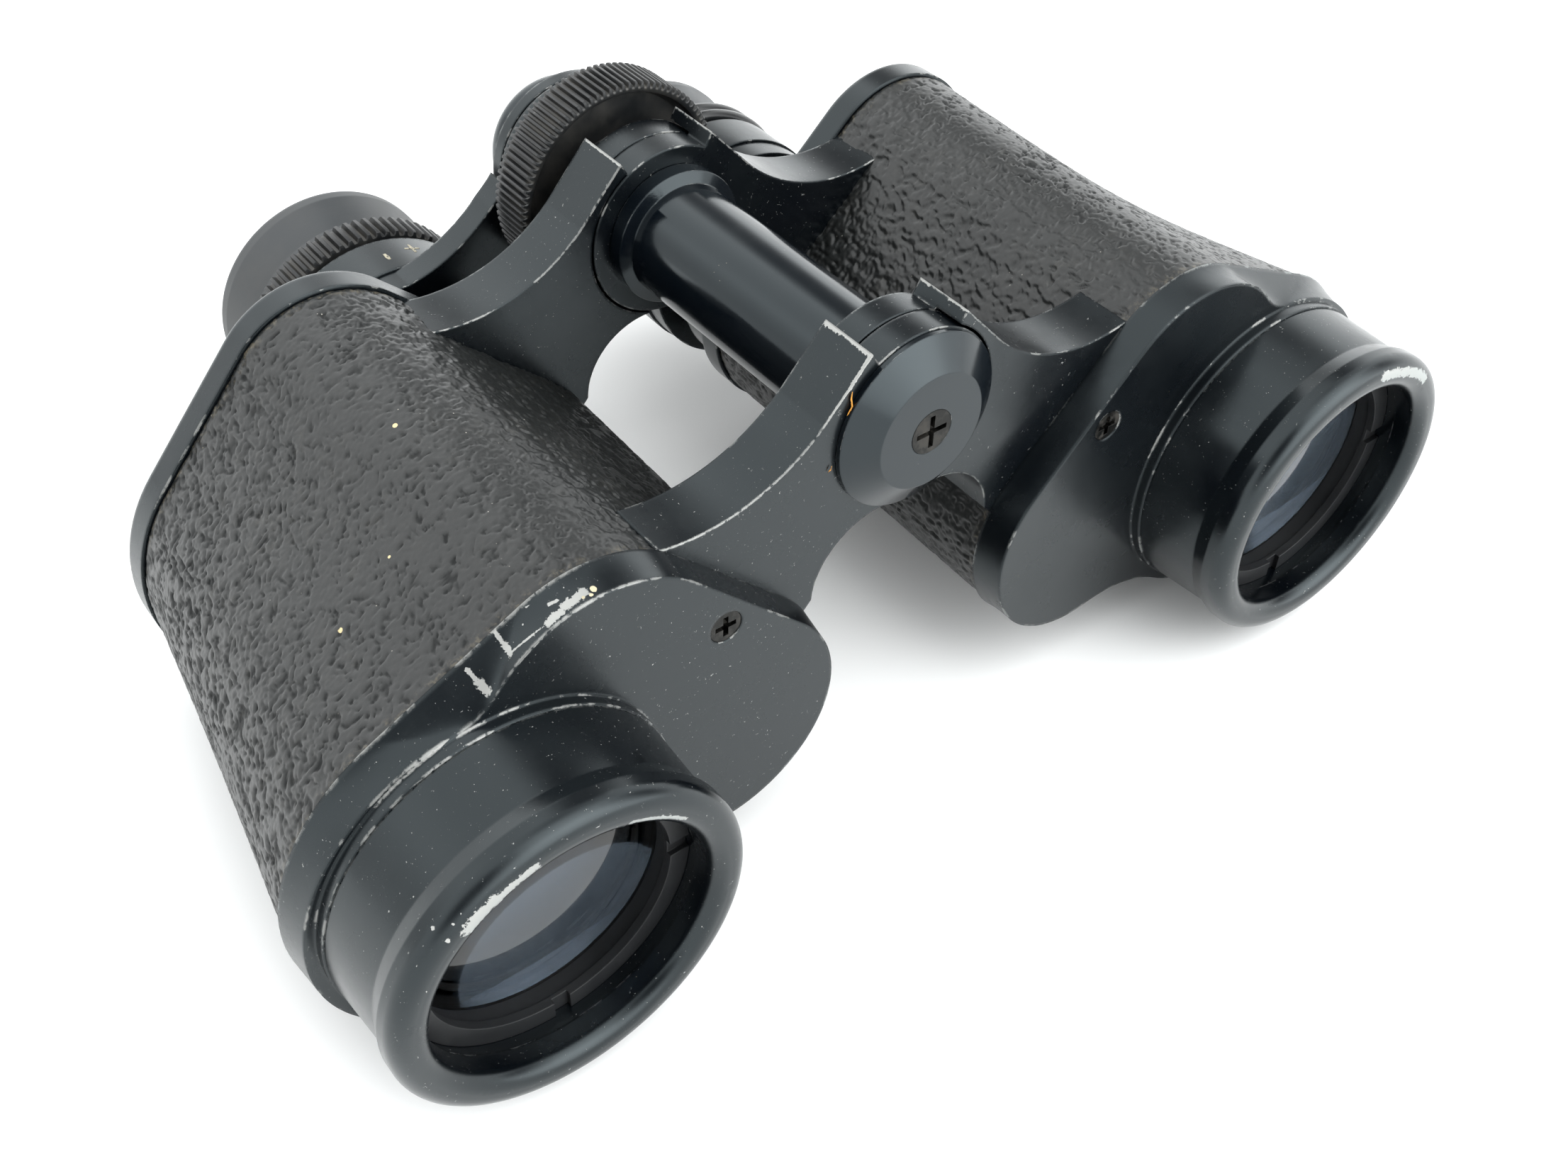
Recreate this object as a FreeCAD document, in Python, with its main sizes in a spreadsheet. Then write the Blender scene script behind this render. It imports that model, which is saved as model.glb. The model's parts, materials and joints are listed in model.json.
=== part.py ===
"""Hinged prism binoculars: two barrels on one axle, a centre focus wheel and a dioptre eyepiece.

Row frame in millimetres: X across the two barrels, Y from the objectives towards the eyepieces,
Z up. The origin lies on the table, under the middle of the hinge axis. The left barrel of the
user is on +X and the right one on -X. Heights of the barrel outlines are given from the hinge
axis (negative is below it), and widths are given outwards from it.
"""
import FreeCAD, Part
import math
import os
import Sketcher

V = FreeCAD.Vector
DOC = FreeCAD.newDocument("binoculars")

# Driving sizes: alias -> (value in mm or degrees, what it is).
SIZES = {
    "hinge_height": (52.8, "hinge axis above the table"),
    # optical axes, outwards and down from the hinge axis
    "obj_out": (59.9, "objective axis, outwards"),
    "obj_down": (29.3, "objective axis, below the hinge axis"),
    "mid_out": (45.0, "light path between the prisms, outwards"),
    "mid_down": (14.4, "light path between the prisms, below the hinge axis"),
    "eye_out": (28.2, "eyepiece axis, outwards"),
    "eye_down": (25.5, "eyepiece axis, below the hinge axis"),
    # stations along Y
    "lip_y": (-58.8, "front of the objective lip"),
    "tube_y": (-44.2, "foot of the objective tube, on its boss"),
    "face_y": (-42.6, "flat front face of the front cover"),
    "front_y": (-38.2, "front cover meets the housing; front arm starts"),
    "front_lug_y": (-34.2, "front lugs of the two barrels meet"),
    "front_arm_y": (-30.2, "front arm ends"),
    "rear_arm_y": (9.8, "rear arm starts"),
    "rear_lug_y": (13.8, "rear lugs of the two barrels meet"),
    "rear_y": (17.8, "housing meets the rear cover; rear arm ends"),
    "back_y": (22.2, "back face of the rear cover"),
    "guide_y": (26.2, "end of the eyepiece guide sleeve"),
    "wheel_front_y": (20.8, "front of the focus wheel"),
    "wheel_back_y": (27.8, "back of the focus wheel"),
    "bridge_y": (30.6, "front of the eyepiece bridge"),
    "bridge_back_y": (34.6, "back of the eyepiece bridge"),
    "scale_y": (42.2, "back of the scale ring"),
    "knurl_y": (43.4, "front of the dioptre ring"),
    "knurl_back_y": (48.3, "back of the dioptre ring"),
    "rim_y": (58.8, "eye end of the eyecups"),
    # housing outline at the front: three circles and their common tangents
    "front_obj_r": (23.5, "outline round the objective"),
    "front_mid_r": (16.5, "outline over the top"),
    "front_eye_out": (28.8, "inner circle, outwards"),
    "front_eye_down": (29.3, "inner circle, down"),
    "front_eye_r": (15.6, "inner circle"),
    # housing outline at the rear
    "rear_obj_out": (51.8, "big circle, outwards"),
    "rear_obj_down": (30.1, "big circle, down"),
    "rear_obj_r": (22.7, "big circle"),
    "rear_mid_out": (45.5, "top circle, outwards"),
    "rear_mid_down": (9.9, "top circle, down"),
    "rear_mid_r": (14.1, "top circle"),
    "rear_eye_out": (29.0, "inner circle, outwards"),
    "rear_eye_down": (27.6, "inner circle, down"),
    "rear_eye_r": (15.9, "inner circle"),
    # front face of the front cover: two lobes with a neck between them
    "lobe_obj_out": (60.2, "objective lobe, outwards"),
    "lobe_obj_down": (30.1, "objective lobe, down"),
    "lobe_obj_r": (22.7, "objective lobe"),
    "lobe_mid_down": (14.8, "top of the prism lobe, down"),
    "lobe_mid_r": (16.2, "top of the prism lobe"),
    "lobe_eye_out": (29.6, "foot of the prism lobe, outwards"),
    "lobe_eye_down": (29.7, "foot of the prism lobe, down"),
    "lobe_eye_r": (15.7, "foot of the prism lobe"),
    "neck_top_r": (7.0, "upper neck"),
    "neck_foot_r": (20.0, "lower neck"),
    # shells and skins
    "skin": (0.9, "depth of the leatherette bed"),
    "skin_step": (0.3, "covers stand this much proud of the leatherette"),
    "bed": (0.88, "depth of the leatherette's inner face, a glue line off the shell"),
    "glue": (0.02, "glue line or press fit between two pieces of one body"),
    "seat": (0.05, "gap between two faces that meet"),
    "play": (0.1, "end play of turning faces"),
    "shell": (2.4, "housing wall with its leatherette bed"),
    "rear_round_r": (1.0, "rounded edge of the rear cover"),
    "overrun": (1.0, "how far a cut runs past its piece"),
    # hinge
    "lug_r": (11.6, "hinge lugs"),
    "lug_room_r": (11.95, "room cut in an arm for the other barrel's lug"),
    "lug_gap": (0.16, "half the gap between neighbouring lugs"),
    "axle_r": (7.7, "axle tube"),
    "pin_r": (6.0, "axle where it runs in the lugs"),
    "pin_bore_r": (6.05, "running bores of the lugs"),
    "axle_bore_r": (4.05, "bore of the axle for the focus spindle"),
    "collar_r": (9.2, "collar at the rear end of the axle tube"),
    "collar_y": (7.0, "front of that collar"),
    "collar_full_y": (7.6, "end of the collar's bevel"),
    "axle_y": (-37.7, "front end of the axle tube"),
    "axle_back_y": (19.4, "rear end of the axle tube"),
    "washer_r": (10.2, "washer behind the rear lugs"),
    "cap_y": (-41.4, "flat face of the end cap"),
    "cap_base_y": (-38.9, "rim of the end cap"),
    "cap_flat_r": (7.55, "flat of the end cap"),
    "cap_r": (11.4, "rim of the end cap"),
    "cap_sink_y": (-40.9, "start of the countersink in the end cap"),
    "arm_tip_out": (6.9, "upper corner of an arm, outwards"),
    "arm_tip_up": (11.8, "upper corner of an arm, above the hinge axis"),
    "arm_bend_out": (13.2, "start of the hollow back of an arm, outwards"),
    "arm_bend_up": (4.9, "start of the hollow back of an arm, up"),
    "arm_end_out": (35.0, "end of the hollow back, in the housing"),
    "arm_end_down": (1.4, "end of the hollow back, down"),
    "arm_hollow_r": (23.6, "hollow back of an arm"),
    "arm_foot_out": (13.9, "foot of the lower hollow, outwards"),
    "arm_foot_down": (20.9, "foot of the lower hollow, down"),
    "arm_neck_out": (2.2, "top of the lower hollow, outwards"),
    "arm_neck_down": (11.6, "top of the lower hollow, down"),
    "arm_foot_r": (9.9, "lower hollow of an arm"),
    "arm_root_out": (36.5, "arm root inside the housing wall, outwards"),
    "arm_root_down": (3.2, "arm root inside the housing wall, down"),
    "arm_heel_out": (16.2, "arm heel inside the housing wall, outwards"),
    "arm_heel_down": (23.5, "arm heel inside the housing wall, down"),
    # focus
    "wheel_r": (15.3, "focus wheel"),
    "wheel_bore_r": (4.06, "bore of the focus wheel"),
    "wheel_hub_r": (7.4, "hub of the focus wheel"),
    "wheel_hub_y": (19.8, "front of that hub"),
    "wheel_well_r": (13.8, "recess in the front of the wheel"),
    "wheel_round_r": (0.5, "rounded edges of the wheel and of the dioptre ring"),
    "wheel_well_y": (23.0, "floor of that recess"),
    "spindle_r": (4.0, "focus spindle"),
    "spindle_y": (-22.4, "front end of the focus spindle"),
    "spindle_back_y": (37.6, "rear end of the focus spindle"),
    "hub_r": (11.4, "hub of the bridge"),
    "hub_room_r": (11.75, "room cut in a bridge arm for the other arm's hub"),
    "hub_y": (32.6, "the two halves of the hub meet"),
    "dome_r": (9.4, "domed nut behind the bridge"),
    "dome_front_y": (34.75, "front of the domed nut"),
    "dome_y": (39.8, "back of the domed nut"),
    "dome_round_r": (2.2, "rounded edge of the domed nut"),
    "hub_bore_r": (4.06, "bore of the bridge hub"),
    "ring_r": (16.6, "bridge ring round an eyepiece"),
    "bridge_tip_out": (8.4, "upper corner of a bridge arm, outwards"),
    "bridge_tip_up": (6.0, "upper corner of a bridge arm, above the hinge axis"),
    "bridge_bend_out": (14.4, "hollow back of a bridge arm, hub end, outwards"),
    "bridge_bend_down": (2.0, "hollow back of a bridge arm, hub end, down"),
    "bridge_low_out": (9.5, "underside of a bridge arm, hub end, outwards"),
    "bridge_low_down": (10.0, "underside of a bridge arm, hub end, down"),
    "bridge_heel_out": (17.2, "underside of a bridge arm, ring end, outwards"),
    "bridge_heel_down": (22.5, "underside of a bridge arm, ring end, down"),
    "bridge_root_down": (12.5, "end of a bridge arm inside its ring, down"),
    "bridge_end_down": (9.0, "hollow back of a bridge arm, ring end, down"),
    "bridge_under_r": (20.0, "hollow underside of a bridge arm"),
    "bridge_back_r": (24.0, "hollow back of a bridge arm, ring end"),
    "bridge_tip_r": (20.0, "hollow back of a bridge arm, hub end"),
    # objective
    "tube_r": (20.9, "objective tube"),
    "lip_r": (21.6, "objective lip, outside"),
    "lip_back_y": (-55.4, "back of the flared lip"),
    "tube_front_y": (-53.2, "objective tube starts behind the flare"),
    "tube_foot_r": (21.4, "objective tube at its foot"),
    "lip_round_r": (2.1, "outer rounding of the lip"),
    "hood_r": (17.0, "objective lip, inside"),
    "hood_round_r": (1.9, "inner rounding of the lip"),
    "hood_back_y": (-54.8, "back of the lip, inside"),
    "tube_bore_r": (17.6, "bore of the objective tube"),
    "spigot_r": (18.8, "spigot of the tube in the front cover"),
    "spigot_y": (-35.9, "inner end of that spigot"),
    "boss_r": (21.6, "boss on the front cover"),
    "cell_r": (17.55, "objective cell"),
    "cell_front_y": (-51.8, "front of the objective cell"),
    "cell_back_y": (-43.0, "back of the objective cell"),
    "lens_r": (15.6, "objective glasses"),
    "clear_r": (14.6, "clear aperture of the objective"),
    "lens_front_y": (-51.4, "front vertex of the objective"),
    "crown_back_y": (-45.4, "back vertex of the crown glass"),
    "flint_y": (-48.0, "front rim of the flint glass"),
    "lens_back_y": (-45.0, "back of the objective"),
    "lens_front_curve": (68.0, "radius of the front surface"),
    "lens_joint_curve": (52.0, "radius of the cemented joint"),
    "keeper_y": (-53.0, "front of the slotted keeper ring"),
    "keeper_bore_r": (15.1, "bore of the keeper ring"),
    "keeper_slot": (2.0, "width of the keeper's slots"),
    "keeper_slot_long": (40.0, "length of a cut right across the keeper"),
    "keeper_slot_depth": (0.7, "depth of the keeper's slots"),
    # prisms
    "shelf_y": (-12.0, "front of the prism shelf"),
    "shelf_back_y": (-9.4, "back of the prism shelf"),
    "shelf_room": (3.2, "shelf inside the barrel's outline"),
    "prism_width": (15.0, "width of a prism"),
    "prism_half": (17.5, "half the long face of a prism, and its depth"),
    "prism_tip": (2.0, "flat ground on a prism's roof edge"),
    "path_r": (9.0, "light holes in the shelf"),
    "clip_width": (3.6, "spring clip over a prism"),
    "clip_thick": (0.6, "sheet of a spring clip"),
    "clip_side": (7.9, "inside of a clip's legs, from the prism's middle"),
    "clip_reach": (15.65, "length of a clip's legs"),
    "clip_lift": (15.75, "top of the clips' legs, from the shelf"),
    # eyepieces
    "barrel_r": (11.0, "sliding eyepiece barrel"),
    "guide_bore_r": (11.05, "guide bore of the rear cover"),
    "guide_r": (14.8, "guide sleeve of the rear cover"),
    "barrel_y": (10.1, "inner end of the eyepiece barrel"),
    "barrel_bore_r": (9.9, "bore of the eyepiece barrel"),
    "barrel_back_y": (44.3, "outer end of the eyepiece barrel"),
    "field_lens_y": (12.1, "front of the field lens"),
    "field_lens_back_y": (16.6, "back of the field lens"),
    "field_lens_r": (9.3, "field lens"),
    "lens_gap": (0.05, "room round a glass in its cell"),
    "scale_r": (16.9, "scale ring"),
    "knurl_r": (17.4, "dioptre ring"),
    "grip_bore_r": (11.35, "bore of the dioptre ring, round the barrel"),
    "grip_seat_r": (12.35, "bore of the dioptre ring, round the eye lens cell"),
    "grip_seat_y": (45.3, "step in the dioptre ring's bore"),
    "cup_neck_r": (15.3, "eyecup behind the dioptre ring"),
    "cup_neck_y": (50.8, "end of the eyecup's neck"),
    "cup_flare_y": (56.5, "end of the eyecup's flare"),
    "cup_r": (16.5, "eyecup rim"),
    "cup_round_r": (1.0, "rounded rim of the eyecup"),
    "cup_mouth_r": (14.5, "mouth of the eyecup"),
    "cup_seat_r": (12.9, "recess of the eyecup"),
    "cup_seat_y": (56.3, "outer end of that recess"),
    "cup_bore_r": (12.4, "bore of the eyecup round the eye lens cell"),
    "cup_bore_y": (52.9, "outer end of that bore"),
    "cell_eye_r": (9.8, "eye lens cell"),
    "cell_flange_r": (12.3, "flange of the eye lens cell"),
    "cell_flange_y": (46.7, "front of that flange"),
    "cell_back_eye_y": (51.9, "back of the eye lens cell"),
    "cell_eye_y": (35.3, "inner end of the eye lens cell"),
    "eye_clear_r": (8.0, "clear aperture of the eye lens"),
    "eye_lens_r": (8.8, "eye lens"),
    "eye_lens_y": (46.9, "front of the eye lens"),
    "eye_lens_back_y": (51.3, "back of the eye lens"),
    "eye_lens_curve": (24.0, "radius of the eyepiece glasses"),
    # screws
    "screw_out": (29.6, "front cover screw, outwards"),
    "screw_down": (12.4, "front cover screw, down"),
    "top_screw_out": (47.5, "upper rear cover screw, outwards"),
    "top_screw_down": (2.9, "upper rear cover screw, down"),
    "outer_screw_out": (63.8, "outer rear cover screw, outwards"),
    "inner_screw_out": (27.0, "inner rear cover screw, outwards"),
    "low_screw_down": (39.1, "two lower rear cover screws, down"),
    "screw_head_r": (2.1, "head of a cover screw"),
    "screw_head": (1.5, "height of a countersunk head"),
    "screw_r": (1.1, "shank of a cover screw"),
    "screw_length": (6.0, "length of a cover screw"),
    "cap_screw_r": (2.9, "head of the axle cap screw"),
    "slot_margin": (0.7, "a cross recess ends this far inside the head's rim"),
    "slot_width": (0.7, "arms of a cross recess"),
    "slot_depth": (0.8, "depth of a cross recess"),
    "screw_gap": (0.03, "room round a screw in its hole"),
}

SHEET = DOC.addObject("Spreadsheet::Sheet", "Sizes")
for row, (alias, (number, meaning)) in enumerate(SIZES.items(), start=1):
    SHEET.set("A%d" % row, meaning)
    SHEET.set("B%d" % row, str(number))
    SHEET.setAlias("B%d" % row, alias)
DOC.recompute()

PARTS = []
SIDES = {"right": -1, "left": 1}
TOUCH = 1e-4    # mm within which two places are the same


# ---- sizes written as short sums of aliases and numbers ----

def value(text):
    """Number that a sum such as 'lug_r + 0.3 - glue' comes to."""
    total, sign = 0.0, 1
    for word in text.split():
        if word in ("+", "-"):
            sign = 1 if word == "+" else -1
        else:
            total += sign * (SIZES[word][0] if word in SIZES else float(word))
            sign = 1
    return total


def bound(text):
    """The same sum as an expression on the sheet."""
    return " ".join("Sizes." + word if word in SIZES else word for word in text.split())


def bind(item, path, text, factor=1):
    """Bind one property to a sum of sheet cells, mirrored when factor is -1."""
    item.setExpression(path, bound(text) if factor == 1 else "%d * (%s)" % (factor, bound(text)))


def bind_span(item, path, first, last):
    """Bind one property to the distance between two stations."""
    item.setExpression(path, "(%s) - (%s)" % (bound(last), bound(first)))


# ---- bodies, sketches and features ----

def new_body(label):
    body = DOC.addObject("PartDesign::Body", label)
    body.Label = label
    PARTS.append(body)
    return body


def plane(body, role):
    return [item for item in body.Origin.OriginFeatures if item.Role == role][0]


def new_sketch(body, y):
    """Sketch across the barrel, at a station along Y; its axes are the row's X and Z."""
    sketch = body.newObject("Sketcher::SketchObject", "Outline")
    sketch.AttachmentSupport = [(plane(body, "XZ_Plane"), "")]
    sketch.MapMode = "FlatFace"
    bind(sketch, "AttachmentOffset.Base.z", y, -1)
    return sketch


def fix_point(sketch, geometry, end, across, up, side):
    """Pin a point of the sketch to two sums of sheet cells."""
    for kind, text, factor in (("DistanceX", across, side), ("DistanceY", up, 1)):
        index = sketch.addConstraint(
            Sketcher.Constraint(kind, -1, 1, geometry, end, factor * value(text)))
        bind(sketch, "Constraints[%d]" % index, text, factor)


def fix_radius(sketch, geometry, text):
    index = sketch.addConstraint(Sketcher.Constraint("Radius", geometry, value(text)))
    bind(sketch, "Constraints[%d]" % index, text)


def add_circle(sketch, across, up, radius, side):
    circle = Part.Circle(V(side * value(across), value(up)), V(0, 0, 1), value(radius))
    geometry = sketch.addGeometry(circle, False)
    fix_point(sketch, geometry, 3, across, up, side)
    fix_radius(sketch, geometry, radius)


def add_polygon(sketch, points, side=1, hollows=()):
    """Closed outline through points; hollows gives the radius of each side that is an arc.

    An arc of a hollow side curves towards the inside of the outline.
    """
    spots = [V(side * value(across), value(up)) for across, up in points]
    area = sum(a.x * b.y - b.x * a.y for a, b in zip(spots, spots[1:] + spots[:1]))
    hollows = dict(hollows)
    ends = []
    for number, (start, stop) in enumerate(zip(spots, spots[1:] + spots[:1])):
        if number not in hollows:
            ends.append((sketch.addGeometry(Part.LineSegment(start, stop), False), 1, 2))
            continue
        radius = value(hollows[number])
        chord = stop - start
        outward = V(chord.y, -chord.x) * (1 if area > 0 else -1)
        outward.normalize()
        centre = (start + stop) * 0.5 + outward * math.sqrt(radius ** 2 - chord.Length ** 2 / 4)
        angles = [math.atan2(p.y - centre.y, p.x - centre.x) for p in (start, stop)]
        swap = (angles[1] - angles[0]) % (2 * math.pi) > math.pi
        first, last = (angles[1], angles[0]) if swap else angles
        if last < first:
            last += 2 * math.pi
        arc = Part.ArcOfCircle(Part.Circle(centre, V(0, 0, 1), radius), first, last)
        ends.append((sketch.addGeometry(arc, False),) + ((2, 1) if swap else (1, 2)))
    for number, (geometry, first, last) in enumerate(ends):
        following = ends[(number + 1) % len(ends)]
        sketch.addConstraint(
            Sketcher.Constraint("Coincident", geometry, last, following[0], following[1]))
        fix_point(sketch, geometry, first, *points[number], side)
        if number in hollows:
            fix_radius(sketch, geometry, hollows[number])


def add_rounded(sketch, circles, side, necks=()):
    """Closed outline round three circles, joined by tangent lines or by hollow neck arcs.

    circles: (across, up, radius) in order over the top; necks: {gap number: radius}, where gap
    0 is after the first circle as listed.
    """
    necks = dict(necks)
    order = list(range(len(circles)))
    if side < 0:
        order.reverse()
    count = len(order)
    centres = [V(side * value(circles[k][0]), value(circles[k][1])) for k in order]
    radii = [value(circles[k][2]) for k in order]
    leave, arrive, joints = [None] * count, [None] * count, []
    for i in range(count):
        j = (i + 1) % count
        gap = order[i] if side > 0 else order[j]
        along = centres[j] - centres[i]
        span = along.Length
        along.normalize()
        outward = V(along.y, -along.x)
        neck = necks.get(gap)
        if neck is None:
            lean = (radii[i] - radii[j]) / span
            normal = along * lean + outward * math.sqrt(1 - lean ** 2)
            leave[i] = centres[i] + normal * radii[i]
            arrive[j] = centres[j] + normal * radii[j]
            joints.append((None, None))
            continue
        room = value(neck)
        reach, other = radii[i] + room, radii[j] + room
        step = (reach ** 2 - other ** 2 + span ** 2) / (2 * span)
        centre = centres[i] + along * step + outward * math.sqrt(reach ** 2 - step ** 2)
        leave[i] = centres[i] + (centre - centres[i]) * (radii[i] / reach)
        arrive[j] = centres[j] + (centre - centres[j]) * (radii[j] / other)
        joints.append((centre, neck))
    pieces = []
    for i in range(count):
        first, last = (math.atan2(p.y - centres[i].y, p.x - centres[i].x)
                       for p in (arrive[i], leave[i]))
        if last < first:
            last += 2 * math.pi
        arc = Part.ArcOfCircle(Part.Circle(centres[i], V(0, 0, 1), radii[i]), first, last)
        geometry = sketch.addGeometry(arc, False)
        pieces.append((geometry, 1, 2))
        across, up, radius = circles[order[i]]
        fix_point(sketch, geometry, 3, across, up, side)
        fix_radius(sketch, geometry, radius)
        centre, neck = joints[i]
        if centre is None:
            line = Part.LineSegment(leave[i], arrive[(i + 1) % count])
            pieces.append((sketch.addGeometry(line, False), 1, 2))
            continue
        last, first = (math.atan2(p.y - centre.y, p.x - centre.x)
                       for p in (leave[i], arrive[(i + 1) % count]))
        if last < first:
            last += 2 * math.pi
        arc = Part.ArcOfCircle(Part.Circle(centre, V(0, 0, 1), value(neck)), first, last)
        geometry = sketch.addGeometry(arc, False)
        pieces.append((geometry, 2, 1))
        fix_radius(sketch, geometry, neck)
    for number, (geometry, _, last) in enumerate(pieces):
        following = pieces[(number + 1) % len(pieces)]
        sketch.addConstraint(
            Sketcher.Constraint("Tangent", geometry, last, following[0], following[1]))


def loft(body, first, second, cut=False):
    """Ruled skin between two sketches, added to the body or cut from it."""
    kind = "PartDesign::SubtractiveLoft" if cut else "PartDesign::AdditiveLoft"
    feature = body.newObject(kind, "Loft")
    feature.Profile = first
    feature.Sections = [second]
    feature.Ruled = True
    body.Tip = feature


def slab(body, y_from, y_to, draw, cut=False):
    """Pad or pocket along Y of what draw() puts in a sketch at y_from."""
    sketch = new_sketch(body, y_from)
    draw(sketch)
    feature = body.newObject("PartDesign::Pocket" if cut else "PartDesign::Pad", "Slab")
    feature.Profile = sketch
    feature.Reversed = not cut
    bind_span(feature, "Length", y_from, y_to)
    body.Tip = feature


def turned(label, axis, side, outline):
    """Piece turned about an optical axis or the hinge axis: outline holds (radius, y) pairs."""
    body = new_body(label)
    sketch = body.newObject("Sketcher::SketchObject", "Profile")
    sketch.AttachmentSupport = [(plane(body, "XY_Plane"), "")]
    sketch.MapMode = "FlatFace"
    add_polygon(sketch, outline)
    turn = body.newObject("PartDesign::Revolution", "Turn")
    turn.Profile = sketch
    turn.ReferenceAxis = (sketch, ["V_Axis"])
    turn.Angle = 360
    body.Tip = turn
    place(body, axis, side)
    return body


def place(item, axis, side):
    """Put a piece's own Y axis on a named axis of the barrel on one side."""
    if axis == "hinge":
        bind(item, "Placement.Base.z", "hinge_height")
        return
    bind(item, "Placement.Base.x", axis + "_out", side)
    bind(item, "Placement.Base.z", "hinge_height - %s_down" % axis)


def on_hinge(body):
    """Barrel pieces are drawn from the hinge axis and lifted to its height."""
    bind(body, "Placement.Base.z", "hinge_height")


def ring(label, axis, side, y_from, y_to, outer, inner):
    return turned(label, axis, side, [(inner, y_from), (outer, y_from), (outer, y_to),
                                      (inner, y_to)])


def round_edges(body, radius, wanted):
    """Round the edges of the last feature that wanted() picks, to one radius on the sheet."""
    DOC.recompute()
    base = body.Tip
    names = ["Edge%d" % (k + 1) for k, edge in enumerate(base.Shape.Edges) if wanted(edge)]
    fillet = body.newObject("PartDesign::Fillet", "Round")
    fillet.Base = (base, names)
    bind(fillet, "Radius", radius)
    body.Tip = fillet


def circle_at(radius, y):
    """Pick the full circle of one radius at one station of a turned piece."""
    def wanted(edge):
        return (isinstance(edge.Curve, Part.Circle)
                and abs(edge.Curve.Radius - value(radius)) < TOUCH
                and abs(edge.Curve.Center.y - value(y)) < TOUCH)
    return wanted


def round_rims(body, radius, y_from, y_to):
    """Round both outer edges of a ring."""
    first, last = circle_at(radius, y_from), circle_at(radius, y_to)
    round_edges(body, "wheel_round_r", lambda edge: first(edge) or last(edge))


# ---- outlines of the barrel ----

def front_outline(inset):
    """Circles of the housing at its front; inset is one alias or number."""
    return [("obj_out", "- obj_down", "front_obj_r - " + inset),
            ("mid_out", "- mid_down", "front_mid_r - " + inset),
            ("front_eye_out", "- front_eye_down", "front_eye_r - " + inset)]


def rear_outline(inset):
    """Circles of the housing at its rear; inset is one alias or number."""
    return [("rear_obj_out", "- rear_obj_down", "rear_obj_r - " + inset),
            ("rear_mid_out", "- rear_mid_down", "rear_mid_r - " + inset),
            ("rear_eye_out", "- rear_eye_down", "rear_eye_r - " + inset)]


FACE_OUTLINE = [("lobe_obj_out", "- lobe_obj_down", "lobe_obj_r"),
                ("mid_out", "- lobe_mid_down", "lobe_mid_r"),
                ("lobe_eye_out", "- lobe_eye_down", "lobe_eye_r")]
FACE_NECKS = {0: "neck_top_r", 2: "neck_foot_r"}

# Arm seen along the hinge: upper corner, hollow back, root in the housing wall, hollow foot.
ARM_OUTLINE = [("arm_tip_out", "arm_tip_up"), ("0", "0"), ("arm_neck_out", "- arm_neck_down"),
               ("arm_foot_out", "- arm_foot_down"), ("arm_heel_out", "- arm_heel_down"),
               ("arm_root_out", "- arm_root_down"), ("arm_end_out", "- arm_end_down"),
               ("arm_bend_out", "arm_bend_up")]
ARM_HOLLOWS = {2: "arm_foot_r", 6: "arm_hollow_r"}


def barrel_loft(body, side, inset, cut=False):
    """Loft or hollow from the front outline to the rear one, inset all round."""
    sketches = []
    for y, outline in (("front_y", front_outline), ("rear_y", rear_outline)):
        sketch = new_sketch(body, y)
        add_rounded(sketch, outline(inset), side)
        sketches.append(sketch)
    loft(body, sketches[0], sketches[1], cut)


# Bridge arm seen along the hinge: upper corner, hub, hollow underside, ring end, hollow back.
BRIDGE_OUTLINE = [("bridge_tip_out", "bridge_tip_up"), ("0", "0"),
                  ("bridge_low_out", "- bridge_low_down"), ("bridge_heel_out", "- bridge_heel_down"),
                  ("eye_out", "- bridge_root_down"), ("eye_out", "- bridge_end_down"),
                  ("bridge_bend_out", "- bridge_bend_down")]
BRIDGE_HOLLOWS = {2: "bridge_under_r", 5: "bridge_back_r", 6: "bridge_tip_r"}

REAR_SCREWS = [("top_screw_out", "- top_screw_down"), ("outer_screw_out", "- low_screw_down"),
               ("inner_screw_out", "- low_screw_down")]


def draw_arm(side):
    return lambda sketch: add_polygon(sketch, ARM_OUTLINE, side, ARM_HOLLOWS)


def draw_disc(radius, across="0", up="0", side=1):
    return lambda sketch: add_circle(sketch, across, up, radius, side)


def draw_block(across, up):
    """Rectangle centred on the sketch's origin."""
    def draw(sketch):
        half, tall = value(across) / 2, value(up) / 2
        corners = [V(-half, -tall), V(half, -tall), V(half, tall), V(-half, tall)]
        for number, start in enumerate(corners):
            sketch.addGeometry(Part.LineSegment(start, corners[(number + 1) % 4]), False)
        for number in range(4):
            sketch.addConstraint(
                Sketcher.Constraint("Coincident", number, 2, (number + 1) % 4, 1))
        sketch.addConstraint([Sketcher.Constraint("Horizontal", 0),
                              Sketcher.Constraint("Horizontal", 2),
                              Sketcher.Constraint("Vertical", 1),
                              Sketcher.Constraint("Vertical", 3),
                              Sketcher.Constraint("Symmetric", 0, 1, 1, 2, -1, 1)])
        for kind, line, text in (("DistanceX", 0, across), ("DistanceY", 1, up)):
            index = sketch.addConstraint(Sketcher.Constraint(kind, line, 1, line, 2, value(text)))
            bind(sketch, "Constraints[%d]" % index, text)
    return draw


# ---- pieces of one barrel ----

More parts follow.
